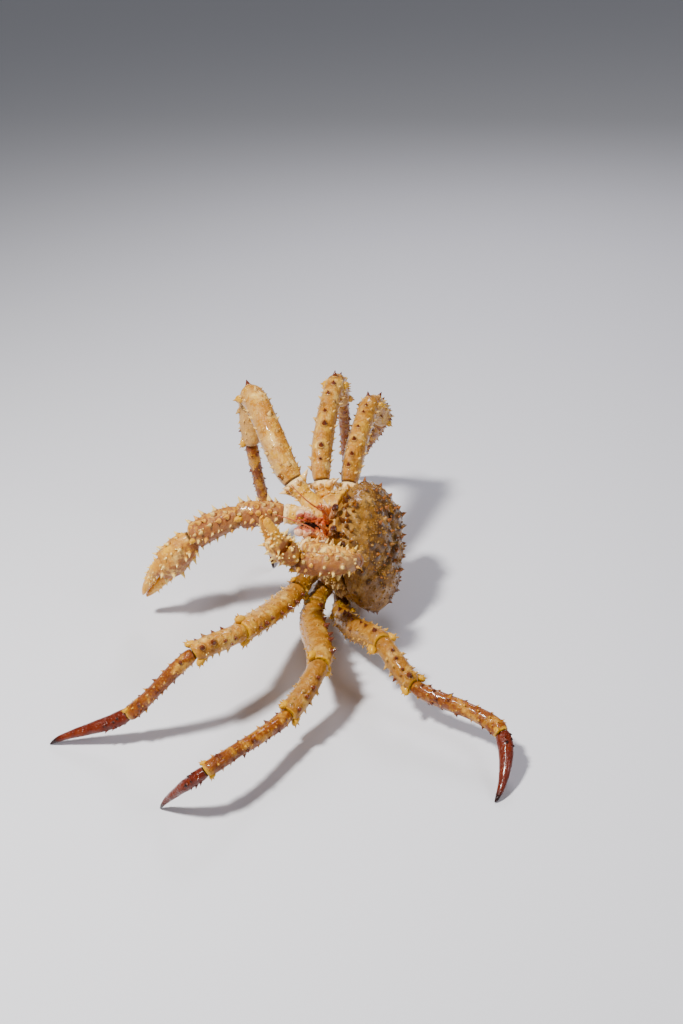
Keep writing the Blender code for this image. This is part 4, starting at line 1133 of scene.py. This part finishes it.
def build_eye(name, side):
    """A spiny eye stalk and its dark, glossy eye."""
    root, tip = on_body(EYE_ROOT, side), on_body(EYE_TIP, side)
    stalk = [root.lerp(tip, share) for share in (0, 0.3, 0.5, 0.66, 0.78, 0.86)]
    limb = round_limb(stalk, (0.0031, 0.0030, 0.0027, 0.0030, 0.0037, 0.0030))
    skin = draw_out(f"{name}_eye_stalk_skin", limb, "Mouth shell", 20, 30, 0.00015, side)
    thorns = Thorns()
    for angle, s in ((0, 0.8), (40, 0.7), (-45, 0.74), (20, 0.45), (-20, 0.5), (90, 0.8), (-90, 0.8)):
        points, normals = limb.surface(s, math.radians(angle))
        way = unit(normals[0] + 0.6 * limb.read(limb.ways, np.array([s]))[0])
        thorns.add(points[0], way, 0.0024, 0.0008, 0.3)
    piece = dress(skin, (thorns,), f"{name}_eye_stalk", "Mouth shell", 0.0002)
    finish_piece(piece, f"{name}_eye")
    bulge = [root.lerp(tip, share) for share in (0.70, 0.80, 0.92, 1.04, 1.13, 1.18)]
    limb = round_limb(bulge, [EYE_RADIUS * r for r in (0.55, 0.88, 1.0, 0.93, 0.65, 0.35)])
    finish_piece(draw_out(f"{name}_eye_ball", limb, "Eye", 28, 32), f"{name}_eye")


# Spines at the feelers' roots and on the outer mouthparts: place, direction and height
ANTENNA_SPIKES = (
    ((0.46, 0.148, -0.190), (1.0, 0.45, 0.1), 0.0110), ((0.46, 0.138, -0.168), (1.0, 0.15, 0.5), 0.0090),
    ((0.46, 0.145, -0.212), (1.0, 0.35, -0.4), 0.0080), ((0.50, 0.128, -0.18), (1.0, 0.2, 0.5), 0.0045),
    ((0.43, 0.158, -0.175), (0.8, 0.8, 0.3), 0.0060), ((0.43, 0.155, -0.215), (0.9, 0.7, -0.4), 0.0055))
MAXILLIPED_SPIKES = (
    ((0.485, 0.110, -0.315), (0.6, 0.9, 0.2), 0.0040), ((0.52, 0.110, -0.345), (0.8, 0.7, 0.1), 0.0036),
    ((0.50, 0.080, -0.290), (0.8, 0.2, 0.8), 0.0040), ((0.545, 0.10, -0.375), (0.9, 0.5, 0.1), 0.0030))
# Lines through the head's limbs in the body frame, for the crab's left side
ANTENNA_BASE = (ANTENNA_ROOT, (0.45, 0.128, -0.19), (0.50, 0.118, -0.198), (0.53, 0.108, -0.204),
                ANTENNA_BEND)
ANTENNULE_STALK = (ANTENNULE_ROOT, (0.475, 0.045, -0.182), (0.54, 0.062, -0.160), (0.60, 0.075, -0.150))
ANTENNULE_BRUSH = (ANTENNULE_STALK[-1], (0.625, 0.070, -0.165), ANTENNULE_TIP)
ANTENNULE_THREAD = (ANTENNULE_STALK[-1], (0.63, 0.088, -0.14), (0.655, 0.098, -0.145))
MAXILLIPED_MERUS = ((0.38, 0.065, -0.29), (0.43, 0.064, -0.298), (0.475, 0.070, -0.315),
                    (0.502, 0.077, -0.333), (0.518, 0.080, -0.350))
MAXILLIPED_CARPUS = ((0.518, 0.080, -0.346), (0.535, 0.081, -0.366), (0.541, 0.074, -0.386),
                     (0.533, 0.065, -0.400))
MAXILLIPED_PALP = ((0.535, 0.067, -0.396), (0.523, 0.056, -0.412), (0.498, 0.046, -0.418))
MAXILLIPED_FRINGE = ((0.45, 0.042, -0.305), (0.50, 0.036, -0.335), (0.525, 0.040, -0.375),
                     *MAXILLIPED_PALP[1:])
# Blades along the edges of the mouth: the line and its radii
MOUTH_BLADES = (
    (((0.37, 0.075, -0.375), (0.435, 0.064, -0.385), (0.465, 0.050, -0.370), (0.470, 0.036, -0.350)),
     (0.0030, 0.0030, 0.0022, 0.0010)),
    (((0.42, 0.052, -0.265), (0.475, 0.047, -0.315), (0.500, 0.040, -0.370), (0.495, 0.016, -0.415)),
     (0.0026, 0.0029, 0.0026, 0.0012)),
    (((0.37, 0.070, -0.250), (0.435, 0.056, -0.246), (0.460, 0.040, -0.254), (0.455, 0.030, -0.268)),
     (0.0034, 0.0032, 0.0024, 0.0010)))
LIP = ((0.37, -0.055, -0.212), (0.43, -0.030, -0.214), (0.445, 0.0, -0.216), (0.43, 0.030, -0.214),
       (0.37, 0.055, -0.212))
# A near-black pod in the mouth's slit: painted shade for its depth
MOUTH_SHADE_LINE = ((0.38, 0, -0.28), (0.42, 0, -0.32), (0.440, 0, -0.365), (0.435, 0, -0.41))


def build_antenna(name, side):
    """A long feeler: spiny jointed base and ringed whip."""
    radii = (0.0048, 0.0048, 0.0040, 0.0032, 0.0022)
    piece = jointed("antenna_base", ANTENNA_BASE, radii, "Feeler shell", side, 0.85)
    spikes = head_spines("antenna_spikes", ANTENNA_SPIKES, "Feeler shell", side)
    start, tip = on_body(ANTENNA_BEND, side), on_body(ANTENNA_TIPS[name])
    first = (start - on_body(ANTENNA_BASE[-2], side)).normalized()
    line = bend_through(start, start + first * 0.012, tip, 7)
    limb = round_limb(line, (0.0012, 0.0010, 0.0009, 0.0008, 0.0007, 0.0006, 0.0004))
    whip = draw_out("antenna_whip", limb, "Mouthparts", 8, 150, cap=2, levels=0, ripple=(48, 0.16))
    finish_piece(join([piece, spikes, whip], f"{name}_antenna_feeler"), f"{name}_antenna")


def build_antennule(name, side, rng):
    """A short feeler: three-jointed stalk, brush and thread."""
    stalk = jointed("antennule_stalk", ANTENNULE_STALK, (0.0034, 0.0029, 0.0025, 0.0021), "Mouthparts", side)
    brush = jointed("antennule_brush", ANTENNULE_BRUSH, (0.0014, 0.0012, 0.0005), "Mouthparts", side)
    thread = jointed("antennule_thread", ANTENNULE_THREAD, (0.0008, 0.0006, 0.0003), "Mouthparts", side)
    hairs = fringe("antennule_hairs", ANTENNULE_BRUSH, 46, 0.0028, (0.5, -0.3, -0.9), rng, side)
    finish_piece(join([stalk, brush, thread, hairs], f"{name}_antennule_feeler"), f"{name}_antennule")


def build_maxilliped(name, side, rng):
    """The outer mouthpart: two swollen pale segments and a short, red, bristly end."""
    merus = pod("maxilliped_merus", MAXILLIPED_MERUS, (0.0028, 0.0036, 0.0049, 0.0054, 0.0038),
                "Maxilliped shell", side)
    carpus = pod("maxilliped_carpus", MAXILLIPED_CARPUS, (0.0030, 0.0048, 0.0042, 0.0024),
                 "Maxilliped shell", side)
    palp = jointed("maxilliped_palp", MAXILLIPED_PALP, (0.0026, 0.0021, 0.0010), "Mouthparts", side, 0.8)
    hairs = fringe("maxilliped_hairs", MAXILLIPED_FRINGE, 110, 0.0036, (0.3, -0.8, -0.4), rng, side)
    spikes = head_spines("maxilliped_spikes", MAXILLIPED_SPIKES, "Mouth shell", side)
    finish_piece(join([merus, carpus, palp, hairs, spikes], f"{name}_maxilliped_limb"), f"{name}_maxilliped")


def build_mouth(rng):
    """The inner mouthparts: two jaws, the red blades along the slit, its lip, and a near-black pod in the
    slit that paints the shade of its depth.
    """
    pieces = []
    for side in (-1, 1):
        pieces.append(pod("jaw", JAW_LINE, (0.0032, 0.0036, 0.0018), "Jaw", side))
        for line, radii in MOUTH_BLADES:
            pieces.append(jointed("blade", line, radii, "Mouthparts", side, 0.6))
            pieces.append(fringe("blade_hairs", line[1:], 36, 0.0028, (0.5, -0.9, 0.1), rng, side))
    pieces.append(jointed("lip", LIP, (0.0034, 0.0036, 0.0038, 0.0036, 0.0034), "Mouthparts", 1, 0.7))
    pieces.append(pod("mouth_shade", MOUTH_SHADE_LINE, (0.0050, 0.0060, 0.0058, 0.0035), "Painted mouth shade", 1))
    finish_piece(join(pieces, "mouth_parts"), "left_jaw", "right_jaw")


def build_head():
    """Eyes, feelers and mouthparts."""
    rng = random.Random(SEED + 50)
    for name, side in (("left", 1), ("right", -1)):
        build_eye(name, side)
        build_antenna(name, side)
        build_antennule(name, side, rng)
        build_maxilliped(name, side, rng)
    build_mouth(rng)


class Net:
    """A small helper that adds and links shader nodes."""

    def __init__(self, tree):
        """Work on one node tree."""
        self.tree = tree

    def fill(self, node, values):
        """Set a node's sockets, by name or number, to values or to other nodes' outputs."""
        for socket, value in dict(values).items():
            if isinstance(value, bpy.types.NodeSocket):
                self.tree.links.new(value, node.inputs[socket])
            else:
                node.inputs[socket].default_value = value

    def add(self, kind, values=(), **settings):
        """One node, with settings by name and sockets by name or number."""
        node = self.tree.nodes.new(kind)
        for key, value in settings.items():
            setattr(node, key, value)
        self.fill(node, values)
        return node

    def mix(self, share, first, second):
        """Colour between two colours."""
        return self.add("ShaderNodeMix", {0: share, 6: first, 7: second}, data_type="RGBA").outputs[2]

    def maths(self, operation, first, second):
        """A sum on two values."""
        return self.add("ShaderNodeMath", {0: first, 1: second}, operation=operation).outputs[0]

    def spread(self, value, low, high, bottom=0.0, top=1.0):
        """A value stretched smoothly from one range to another."""
        values = {0: value, 1: low, 2: high, 3: bottom, 4: top}
        return self.add("ShaderNodeMapRange", values, interpolation_type="SMOOTHSTEP").outputs[0]

    def speckle(self, place, scale, detail, **more):
        """Smooth noise at a place."""
        values = {"Vector": place, "Scale": scale, "Detail": detail, **more}
        return self.add("ShaderNodeTexNoise", values).outputs[0]

    def value(self, name):
        """A number stored on the piece's points."""
        return self.add("ShaderNodeAttribute", attribute_name=name).outputs["Fac"]


def colour4(colour):
    """A colour with full opacity."""
    return (*colour, 1.0)


GROUP_INPUTS = (("Place", "NodeSocketVector"), ("Main", "NodeSocketColor"), ("Pale", "NodeSocketColor"),
                ("Dark", "NodeSocketColor"), ("Bright", "NodeSocketColor"), ("Patch size", "NodeSocketFloat"))
GROUP_OUTPUTS = (("Colour", "NodeSocketColor"), ("Height", "NodeSocketFloat"), ("Wet", "NodeSocketFloat"))


def shell_group():
    """Group: patchy shell colour with painted shade in its pits, the height of its fine grain and its
    wetness, from a place.
    """
    group = bpy.data.node_groups.new("Patchy shell", "ShaderNodeTree")
    for sockets, way in ((GROUP_INPUTS, "INPUT"), (GROUP_OUTPUTS, "OUTPUT")):
        for name, kind in sockets:
            group.interface.new_socket(name, in_out=way, socket_type=kind)
    net = Net(group)
    given = net.add("NodeGroupInput").outputs
    place = given["Place"]
    patches = net.speckle(place, given["Patch size"], 5.0, Roughness=0.6)
    streaks = net.speckle(place, 420.0, 3.0)
    drops = net.speckle(place, 160.0, 2.0)
    lumps = net.speckle(place, 230.0, 2.0)
    pits = net.add("ShaderNodeTexVoronoi", {"Vector": place, "Scale": 900.0}, feature="SMOOTH_F1").outputs[0]
    blotches = net.add("ShaderNodeTexNoise", {"Vector": place, "Scale": 85.0, "Detail": 3.0, "W": 3.0},
                       noise_dimensions="4D").outputs[0]
    colour = net.mix(net.spread(patches, 0.50, 0.72), given["Main"], given["Pale"])
    colour = net.mix(net.spread(blotches, 0.52, 0.64, 0.0, 0.75), colour, given["Bright"])
    colour = net.mix(net.spread(patches, 0.48, 0.28, 0.0, 0.7), colour, given["Dark"])
    colour = net.mix(net.spread(streaks, 0.55, 0.75, 0.0, 0.35), colour, given["Pale"])
    # The pits of the fine grain are painted darker: painted shade
    colour = net.mix(net.spread(pits, 0.28, 0.08, 0.0, 0.30), colour, given["Dark"])
    height = net.maths("ADD", net.maths("MULTIPLY", pits, 0.25), net.maths("MULTIPLY", streaks, 0.35))
    height = net.maths("ADD", height, net.maths("MULTIPLY", lumps, 0.9))
    net.add("NodeGroupOutput", {"Colour": colour, "Height": height, "Wet": net.spread(drops, 0.35, 0.65)})


# Colours that all shells share: the seam at a segment's root, the painted shade deep in the mouth, the claws'
# teeth, and the spines over the eyes from foot to tip
SEAM_COLOUR = (0.05, 0.015, 0.008, 1.0)
MOUTH_SHADE_COLOUR = (0.02, 0.002, 0.001, 1.0)
TOOTH_COLOUR = (0.85, 0.78, 0.62, 1.0)
BROW_FOOT = (0.085, 0.020, 0.005, 1.0)
BROW_END = (0.30, 0.10, 0.012, 1.0)


def new_material(name):
    """A material with its helper, its shader and the place on the object."""
    material = bpy.data.materials.new(name)
    material.use_nodes = True
    net = Net(material.node_tree)
    return net, material.node_tree.nodes["Principled BSDF"], net.add("ShaderNodeTexCoord").outputs["Object"]


def shell_material(name, main, pale, dark, spine_tip, bright, patch=55.0, rough=(0.46, 0.28), spine_pale=0.65,
                   end=None, end_span=(0.95, 1.0), hollow=None, side_and_shade=None, side_and_shade_span=(0.75, -0.25),
                   spot_share=0.3):
    """Wet shell: patchy colour, marks at the spines' feet, pale or dark tipped spines, and a side colour that
    is painted shade on some shells.
    """
    net, shader, place = new_material(name)
    values = {"Place": place, "Patch size": patch}
    for socket, value in (("Main", main), ("Pale", pale), ("Dark", dark), ("Bright", bright)):
        values[socket] = colour4(value)
    group = net.add("ShaderNodeGroup", node_tree=bpy.data.node_groups["Patchy shell"])
    net.fill(group, values)
    colour, wet = group.outputs["Colour"], group.outputs["Wet"]
    spine, tint, spot = net.value("spine"), net.value("tint"), net.value("spot")
    # Side colour from the outer value: real on the legs and the outer mouthparts, painted shade on the claws,
    # the underside and the tail flap
    if side_and_shade:
        share = net.maths("ADD", net.value("outer"), net.maths("MULTIPLY", wet, 0.8))
        colour = net.mix(net.spread(share, *side_and_shade_span, 0.0, 0.8), colour, colour4(side_and_shade))
    if end:
        along = net.value("along")
        colour = net.mix(net.spread(along, *end_span, 0.0, 0.9), colour, colour4(end))
        colour = net.mix(net.spread(along, 0.022, 0.006, 0.0, 0.85), colour, SEAM_COLOUR)
    # Round the mouth's hollow a real red rim, and deep in it painted shade, near black
    if hollow:
        depth = net.value("hollow")
        colour = net.mix(net.spread(depth, 0.05, 0.35), colour, colour4(hollow))
        colour = net.mix(net.spread(depth, 0.35, 0.85), colour, MOUTH_SHADE_COLOUR)
    colour = net.mix(net.spread(spot, 0.05, 0.5, 0.0, 0.75), colour, colour4(dark))
    colour = net.mix(net.spread(spot, -0.15, -0.7, 0.0, spot_share), colour, colour4(pale))
    tipped = net.spread(tint, 0.52, 0.62)
    lit = net.maths("MULTIPLY", net.spread(spine, 0.02, 0.30), net.maths("SUBTRACT", 1.0, tipped))
    colour = net.mix(net.maths("MULTIPLY", lit, spine_pale), colour, colour4(pale))
    colour = net.mix(net.maths("MULTIPLY", net.spread(spine, 0.0, 0.12), tipped), colour, colour4(spine_tip))

    def kind(mark):
        """One on spines of a kind and of those after it."""
        return net.spread(tint, mark - 0.5, mark - 0.1)

    knob_share = net.maths("MAXIMUM", net.value("knob"), kind(KNOB_TINT))
    yellow = colour4(bpy.context.scene.crab_colours.yellow)
    colour = net.mix(net.maths("MULTIPLY", knob_share, 0.78), colour, yellow)
    colour = net.mix(kind(TOOTH_TINT), colour, TOOTH_COLOUR)
    colour = net.mix(kind(BROW_TINT), colour, net.mix(spine, BROW_FOOT, BROW_END))
    height = group.outputs["Height"]
    bump_node = net.add("ShaderNodeBump", {"Strength": 0.8, "Distance": 0.0020, "Height": height})
    net.fill(shader, {
        "Base Color": colour, "Roughness": net.spread(wet, 0, 1, *rough),
        "Coat Weight": net.spread(wet, 0, 1, 0.05, 0.70), "Coat Roughness": 0.07, "Coat IOR": 1.34,
        "Specular IOR Level": 0.20, "Normal": bump_node.outputs[0]})


def plain_material(name, colour, second, roughness, coat=1.0, specular=0.5):
    """A wet, slightly uneven colour."""
    net, shader, place = new_material(name)
    patches = net.speckle(place, 300.0, 4.0)
    bump_node = net.add("ShaderNodeBump", {"Strength": 0.2, "Distance": 0.0004, "Height": patches})
    net.fill(shader, {
        "Base Color": net.mix(net.spread(patches, 0.4, 0.65), colour4(colour), colour4(second)),
        "Roughness": net.spread(patches, 0.3, 0.7, roughness, roughness * 1.5), "Coat Weight": coat,
        "Coat Roughness": 0.06, "Specular IOR Level": specular, "Normal": bump_node.outputs[0]})


def make_materials():
    """All finishes of the crab."""
    colours = bpy.context.scene.crab_colours
    shell_group()
    make_limb_shells(colours)
    make_claw_shells(colours)
    make_head_shells()
    brown = tuple(colours.brown)
    shell_material("Back shell", tuple(colours.back), (0.44, 0.24, 0.055), (0.045, 0.014, 0.004),
                   (0.26, 0.080, 0.010), (0.32, 0.140, 0.012), patch=38.0, rough=(0.36, 0.22),
                   spine_pale=0.35)
    # The underside's dark side colour is painted shade, on the side towards the floor and on the tail flap's
    # inner side
    shell_material("Underside shell", (0.56, 0.25, 0.035), (0.90, 0.62, 0.24), (0.22, 0.070, 0.008), brown,
                   (0.80, 0.42, 0.015), patch=40.0, hollow=(0.42, 0.035, 0.006), side_and_shade=(0.15, 0.046, 0.006),
                   side_and_shade_span=(1.1, 0.3), spot_share=0.6)
    plain_material("Mouthparts", tuple(colours.red), (0.64, 0.18, 0.03), 0.26)
    plain_material("Jaw", (0.55, 0.26, 0.12), (0.35, 0.08, 0.03), 0.25)
    # Near black, with hardly any gloss: painted shade deep in the mouth
    plain_material("Painted mouth shade", (0.010, 0.002, 0.001), (0.010, 0.002, 0.001), 0.6, coat=0.0, specular=0.05)
    plain_material("Eye", (0.045, 0.010, 0.005), (0.11, 0.024, 0.010), 0.06)


def make_limb_shells(colours):
    """Finishes of the walking legs: roots, long segments, shins and tips."""
    brown = tuple(colours.brown)
    joint_end = {"end": (0.62, 0.30, 0.002), "end_span": (0.975, 1.0)}
    shell_material("Leg shell", tuple(colours.shell), tuple(colours.cream), (0.155, 0.052, 0.008), brown,
                   (0.64, 0.33, 0.02), side_and_shade=(0.54, 0.30, 0.09), side_and_shade_span=(1.0, 0.1), **joint_end)
    # A darker copy of the leg shell for the middle and back left legs: painted shade
    shell_material("Painted shade leg shell", (0.33, 0.125, 0.006), (0.66, 0.38, 0.07), (0.150, 0.048, 0.005), brown,
                   (0.44, 0.20, 0.010), side_and_shade=(0.40, 0.20, 0.05), side_and_shade_span=(0.8, -0.1), **joint_end)
    # A very dark root shell for the low legs' roots: painted shade under the body
    shell_material("Painted shade root shell", (0.22, 0.085, 0.004), (0.50, 0.28, 0.05), (0.09, 0.026, 0.004), brown,
                   (0.52, 0.33, 0.002), patch=70.0)
    shell_material("Lower leg shell", (0.22, 0.052, 0.003), (0.70, 0.34, 0.03), (0.075, 0.013, 0.002), brown,
                   (0.50, 0.21, 0.005), spine_pale=0.9, end=(0.66, 0.34, 0.008), end_span=(0.96, 0.99))
    shell_material("Leg root shell", (0.78, 0.42, 0.02), (0.98, 0.66, 0.28), (0.42, 0.14, 0.012),
                   (0.60, 0.24, 0.03), (0.86, 0.44, 0.001), patch=60.0, spine_pale=1.0,
                   end=(0.98, 0.70, 0.34), end_span=(0.78, 0.90), spot_share=0.6)
    shell_material("Leg tip horn", tuple(colours.tip), (0.18, 0.028, 0.005), (0.04, 0.005, 0.002),
                   (0.02, 0.006, 0.004), (0.15, 0.018, 0.003), rough=(0.34, 0.20), spine_pale=0.4,
                   end=(0.006, 0.003, 0.003), end_span=(0.74, 0.90))


def make_claw_shells(colours):
    """Finishes of the claws: arms, hands and movable fingers."""
    spine_tip = (0.72, 0.34, 0.04)
    claw = (tuple(colours.claw), (0.96, 0.68, 0.20), (0.24, 0.060, 0.018), spine_tip)
    # The claws' dark side colour, away from the light above, is painted shade
    shell_material("Claw shell", *claw, (0.84, 0.42, 0.012), patch=34.0, spine_pale=0.9,
                   side_and_shade=(0.21, 0.060, 0.028), side_and_shade_span=(1.35, 0.60))
    shell_material("Hand shell", *claw, (0.90, 0.46, 0.012), patch=34.0, spine_pale=1.0,
                   side_and_shade=(0.25, 0.070, 0.028), side_and_shade_span=(0.55, -0.4), end=(0.76, 0.34, 0.010),
                   end_span=(0.55, 0.72))
    shell_material("Claw finger", (0.70, 0.29, 0.015), (0.92, 0.60, 0.14), (0.30, 0.07, 0.008), spine_tip,
                   (0.85, 0.38, 0.008), spine_pale=1.0)


def make_head_shells():
    """Finishes of the eye stalks, the feelers' bases and the outer mouthparts."""
    spine_tip = (0.62, 0.26, 0.08)
    fine = {"patch": 140.0, "spine_pale": 1.0}
    shell_material("Mouth shell", (0.66, 0.36, 0.16), (0.92, 0.72, 0.46), (0.36, 0.08, 0.015), spine_tip,
                   (0.72, 0.32, 0.06), **fine)
    shell_material("Maxilliped shell", (0.78, 0.44, 0.26), (0.96, 0.74, 0.52), (0.48, 0.12, 0.03), spine_tip,
                   (0.82, 0.40, 0.18), side_and_shade=(0.40, 0.030, 0.006), side_and_shade_span=(0.45, 0.0), **fine)
    shell_material("Feeler shell", (0.76, 0.25, 0.035), (0.96, 0.72, 0.44), (0.48, 0.05, 0.010), spine_tip,
                   (0.80, 0.34, 0.05), **fine)


class CRAB_OT_finishes(bpy.types.Operator):
    """Make the crab's materials"""

    bl_idname = "crab.finishes"
    bl_label = "Finishes"

    def execute(self, context):
        make_materials()
        return {"FINISHED"}


class CRAB_OT_carapace(bpy.types.Operator):
    """Add the back shell with its spines"""

    bl_idname = "crab.carapace"
    bl_label = "Carapace"

    def execute(self, context):
        build_carapace()
        return {"FINISHED"}


class CRAB_OT_underside(bpy.types.Operator):
    """Add the underside of the body and the tail flap"""

    bl_idname = "crab.underside"
    bl_label = "Underside and tail flap"

    def execute(self, context):
        build_underside()
        build_abdomen()
        return {"FINISHED"}


class CRAB_OT_legs(bpy.types.Operator):
    """Add the six walking legs"""

    bl_idname = "crab.legs"
    bl_label = "Walking legs"

    def execute(self, context):
        for name in LEG_POSES:
            build_leg(name)
        return {"FINISHED"}


class CRAB_OT_claws(bpy.types.Operator):
    """Add both claw arms"""

    bl_idname = "crab.claws"
    bl_label = "Claws"

    def execute(self, context):
        for name in CLAW_SCALES:
            build_claw(name)
        return {"FINISHED"}


class CRAB_OT_head(bpy.types.Operator):
    """Add eyes, feelers and mouthparts"""

    bl_idname = "crab.head"
    bl_label = "Head"

    def execute(self, context):
        build_head()
        return {"FINISHED"}


class CRAB_OT_stage(bpy.types.Operator):
    """Add the floor, the lights and the camera"""

    bl_idname = "crab.stage"
    bl_label = "Stage"

    def execute(self, context):
        build_stage()
        return {"FINISHED"}


def add_light(name, place, target, size, power, colour):
    """One soft square light aimed at a point."""
    deselect()
    bpy.ops.object.light_add(type="AREA", location=place)
    light = bpy.context.object
    light.name = name
    light.data.size = size
    light.data.energy = power
    light.data.color = colour
    light.rotation_euler = (Vector(target) - Vector(place)).to_track_quat("-Z", "Y").to_euler()


def add_camera():
    """The camera, at the photo's viewpoint."""
    camera_data = bpy.data.cameras.new("view")
    camera = bpy.data.objects.new("view", camera_data)
    bpy.context.scene.collection.objects.link(camera)
    camera_data.sensor_fit = "VERTICAL"
    camera_data.sensor_height = CAMERA_SENSOR
    camera_data.lens = CAMERA_LENS
    camera.location = CAMERA_PLACE
    look = Quaternion((1, 0, 0), math.radians(90 - CAMERA_TILT))
    camera.rotation_mode = "QUATERNION"
    camera.rotation_quaternion = look @ Quaternion((0, 0, 1), math.radians(-CAMERA_ROLL))
    bpy.context.scene.camera = camera


def build_stage():
    """A plain pale floor, soft light and the photo's viewpoint."""
    deselect()
    bpy.ops.mesh.primitive_plane_add(size=FLOOR_SIZE, location=(0, 2.0, 0))
    floor = bpy.context.object
    floor.name = "floor"
    material = bpy.data.materials.new("Floor")
    material.use_nodes = True
    shader = material.node_tree.nodes["Principled BSDF"]
    shader.inputs["Base Color"].default_value = colour4(bpy.context.scene.crab_colours.floor)
    shader.inputs["Roughness"].default_value = 0.55
    floor.data.materials.append(material)
    world = bpy.data.worlds.new("Studio")
    bpy.context.scene.world = world
    world.use_nodes = True
    world.node_tree.nodes["Background"].inputs["Color"].default_value = colour4(WORLD_COLOUR)
    world.node_tree.nodes["Background"].inputs["Strength"].default_value = WORLD_STRENGTH
    for light in LIGHTS:
        add_light(*light)
    add_camera()


class CRAB_PT_panel(bpy.types.Panel):
    """Crab tools in the 3D view's sidebar"""

    bl_idname = "CRAB_PT_panel"
    bl_label = "Red King Crab"
    bl_space_type = "VIEW_3D"
    bl_region_type = "UI"
    bl_category = "Crab"

    def draw(self, context):
        for group in (context.scene.crab_shape, context.scene.crab_colours):
            for name in group.__annotations__:
                self.layout.prop(group, name)
        for operator in OPERATORS:
            self.layout.operator(operator.bl_idname)


OPERATORS = (CRAB_OT_finishes, CRAB_OT_carapace, CRAB_OT_underside, CRAB_OT_legs, CRAB_OT_claws, CRAB_OT_head,
             CRAB_OT_stage)
CLASSES = (CrabShape, CrabColours) + OPERATORS + (CRAB_PT_panel,)


def register():
    """Register the classes and hang the settings on the scene."""
    for cls in CLASSES:
        bpy.utils.register_class(cls)
    bpy.types.Scene.crab_shape = bpy.props.PointerProperty(type=CrabShape)
    bpy.types.Scene.crab_colours = bpy.props.PointerProperty(type=CrabColours)


def unregister():
    """Undo register."""
    del bpy.types.Scene.crab_colours
    del bpy.types.Scene.crab_shape
    for cls in reversed(CLASSES):
        bpy.utils.unregister_class(cls)


def main():
    """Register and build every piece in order."""
    register()
    bpy.ops.crab.finishes()
    bpy.ops.crab.carapace()
    bpy.ops.crab.underside()
    bpy.ops.crab.legs()
    bpy.ops.crab.claws()
    bpy.ops.crab.head()
    bpy.ops.crab.stage()
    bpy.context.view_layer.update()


if __name__ == "__main__":
    main()
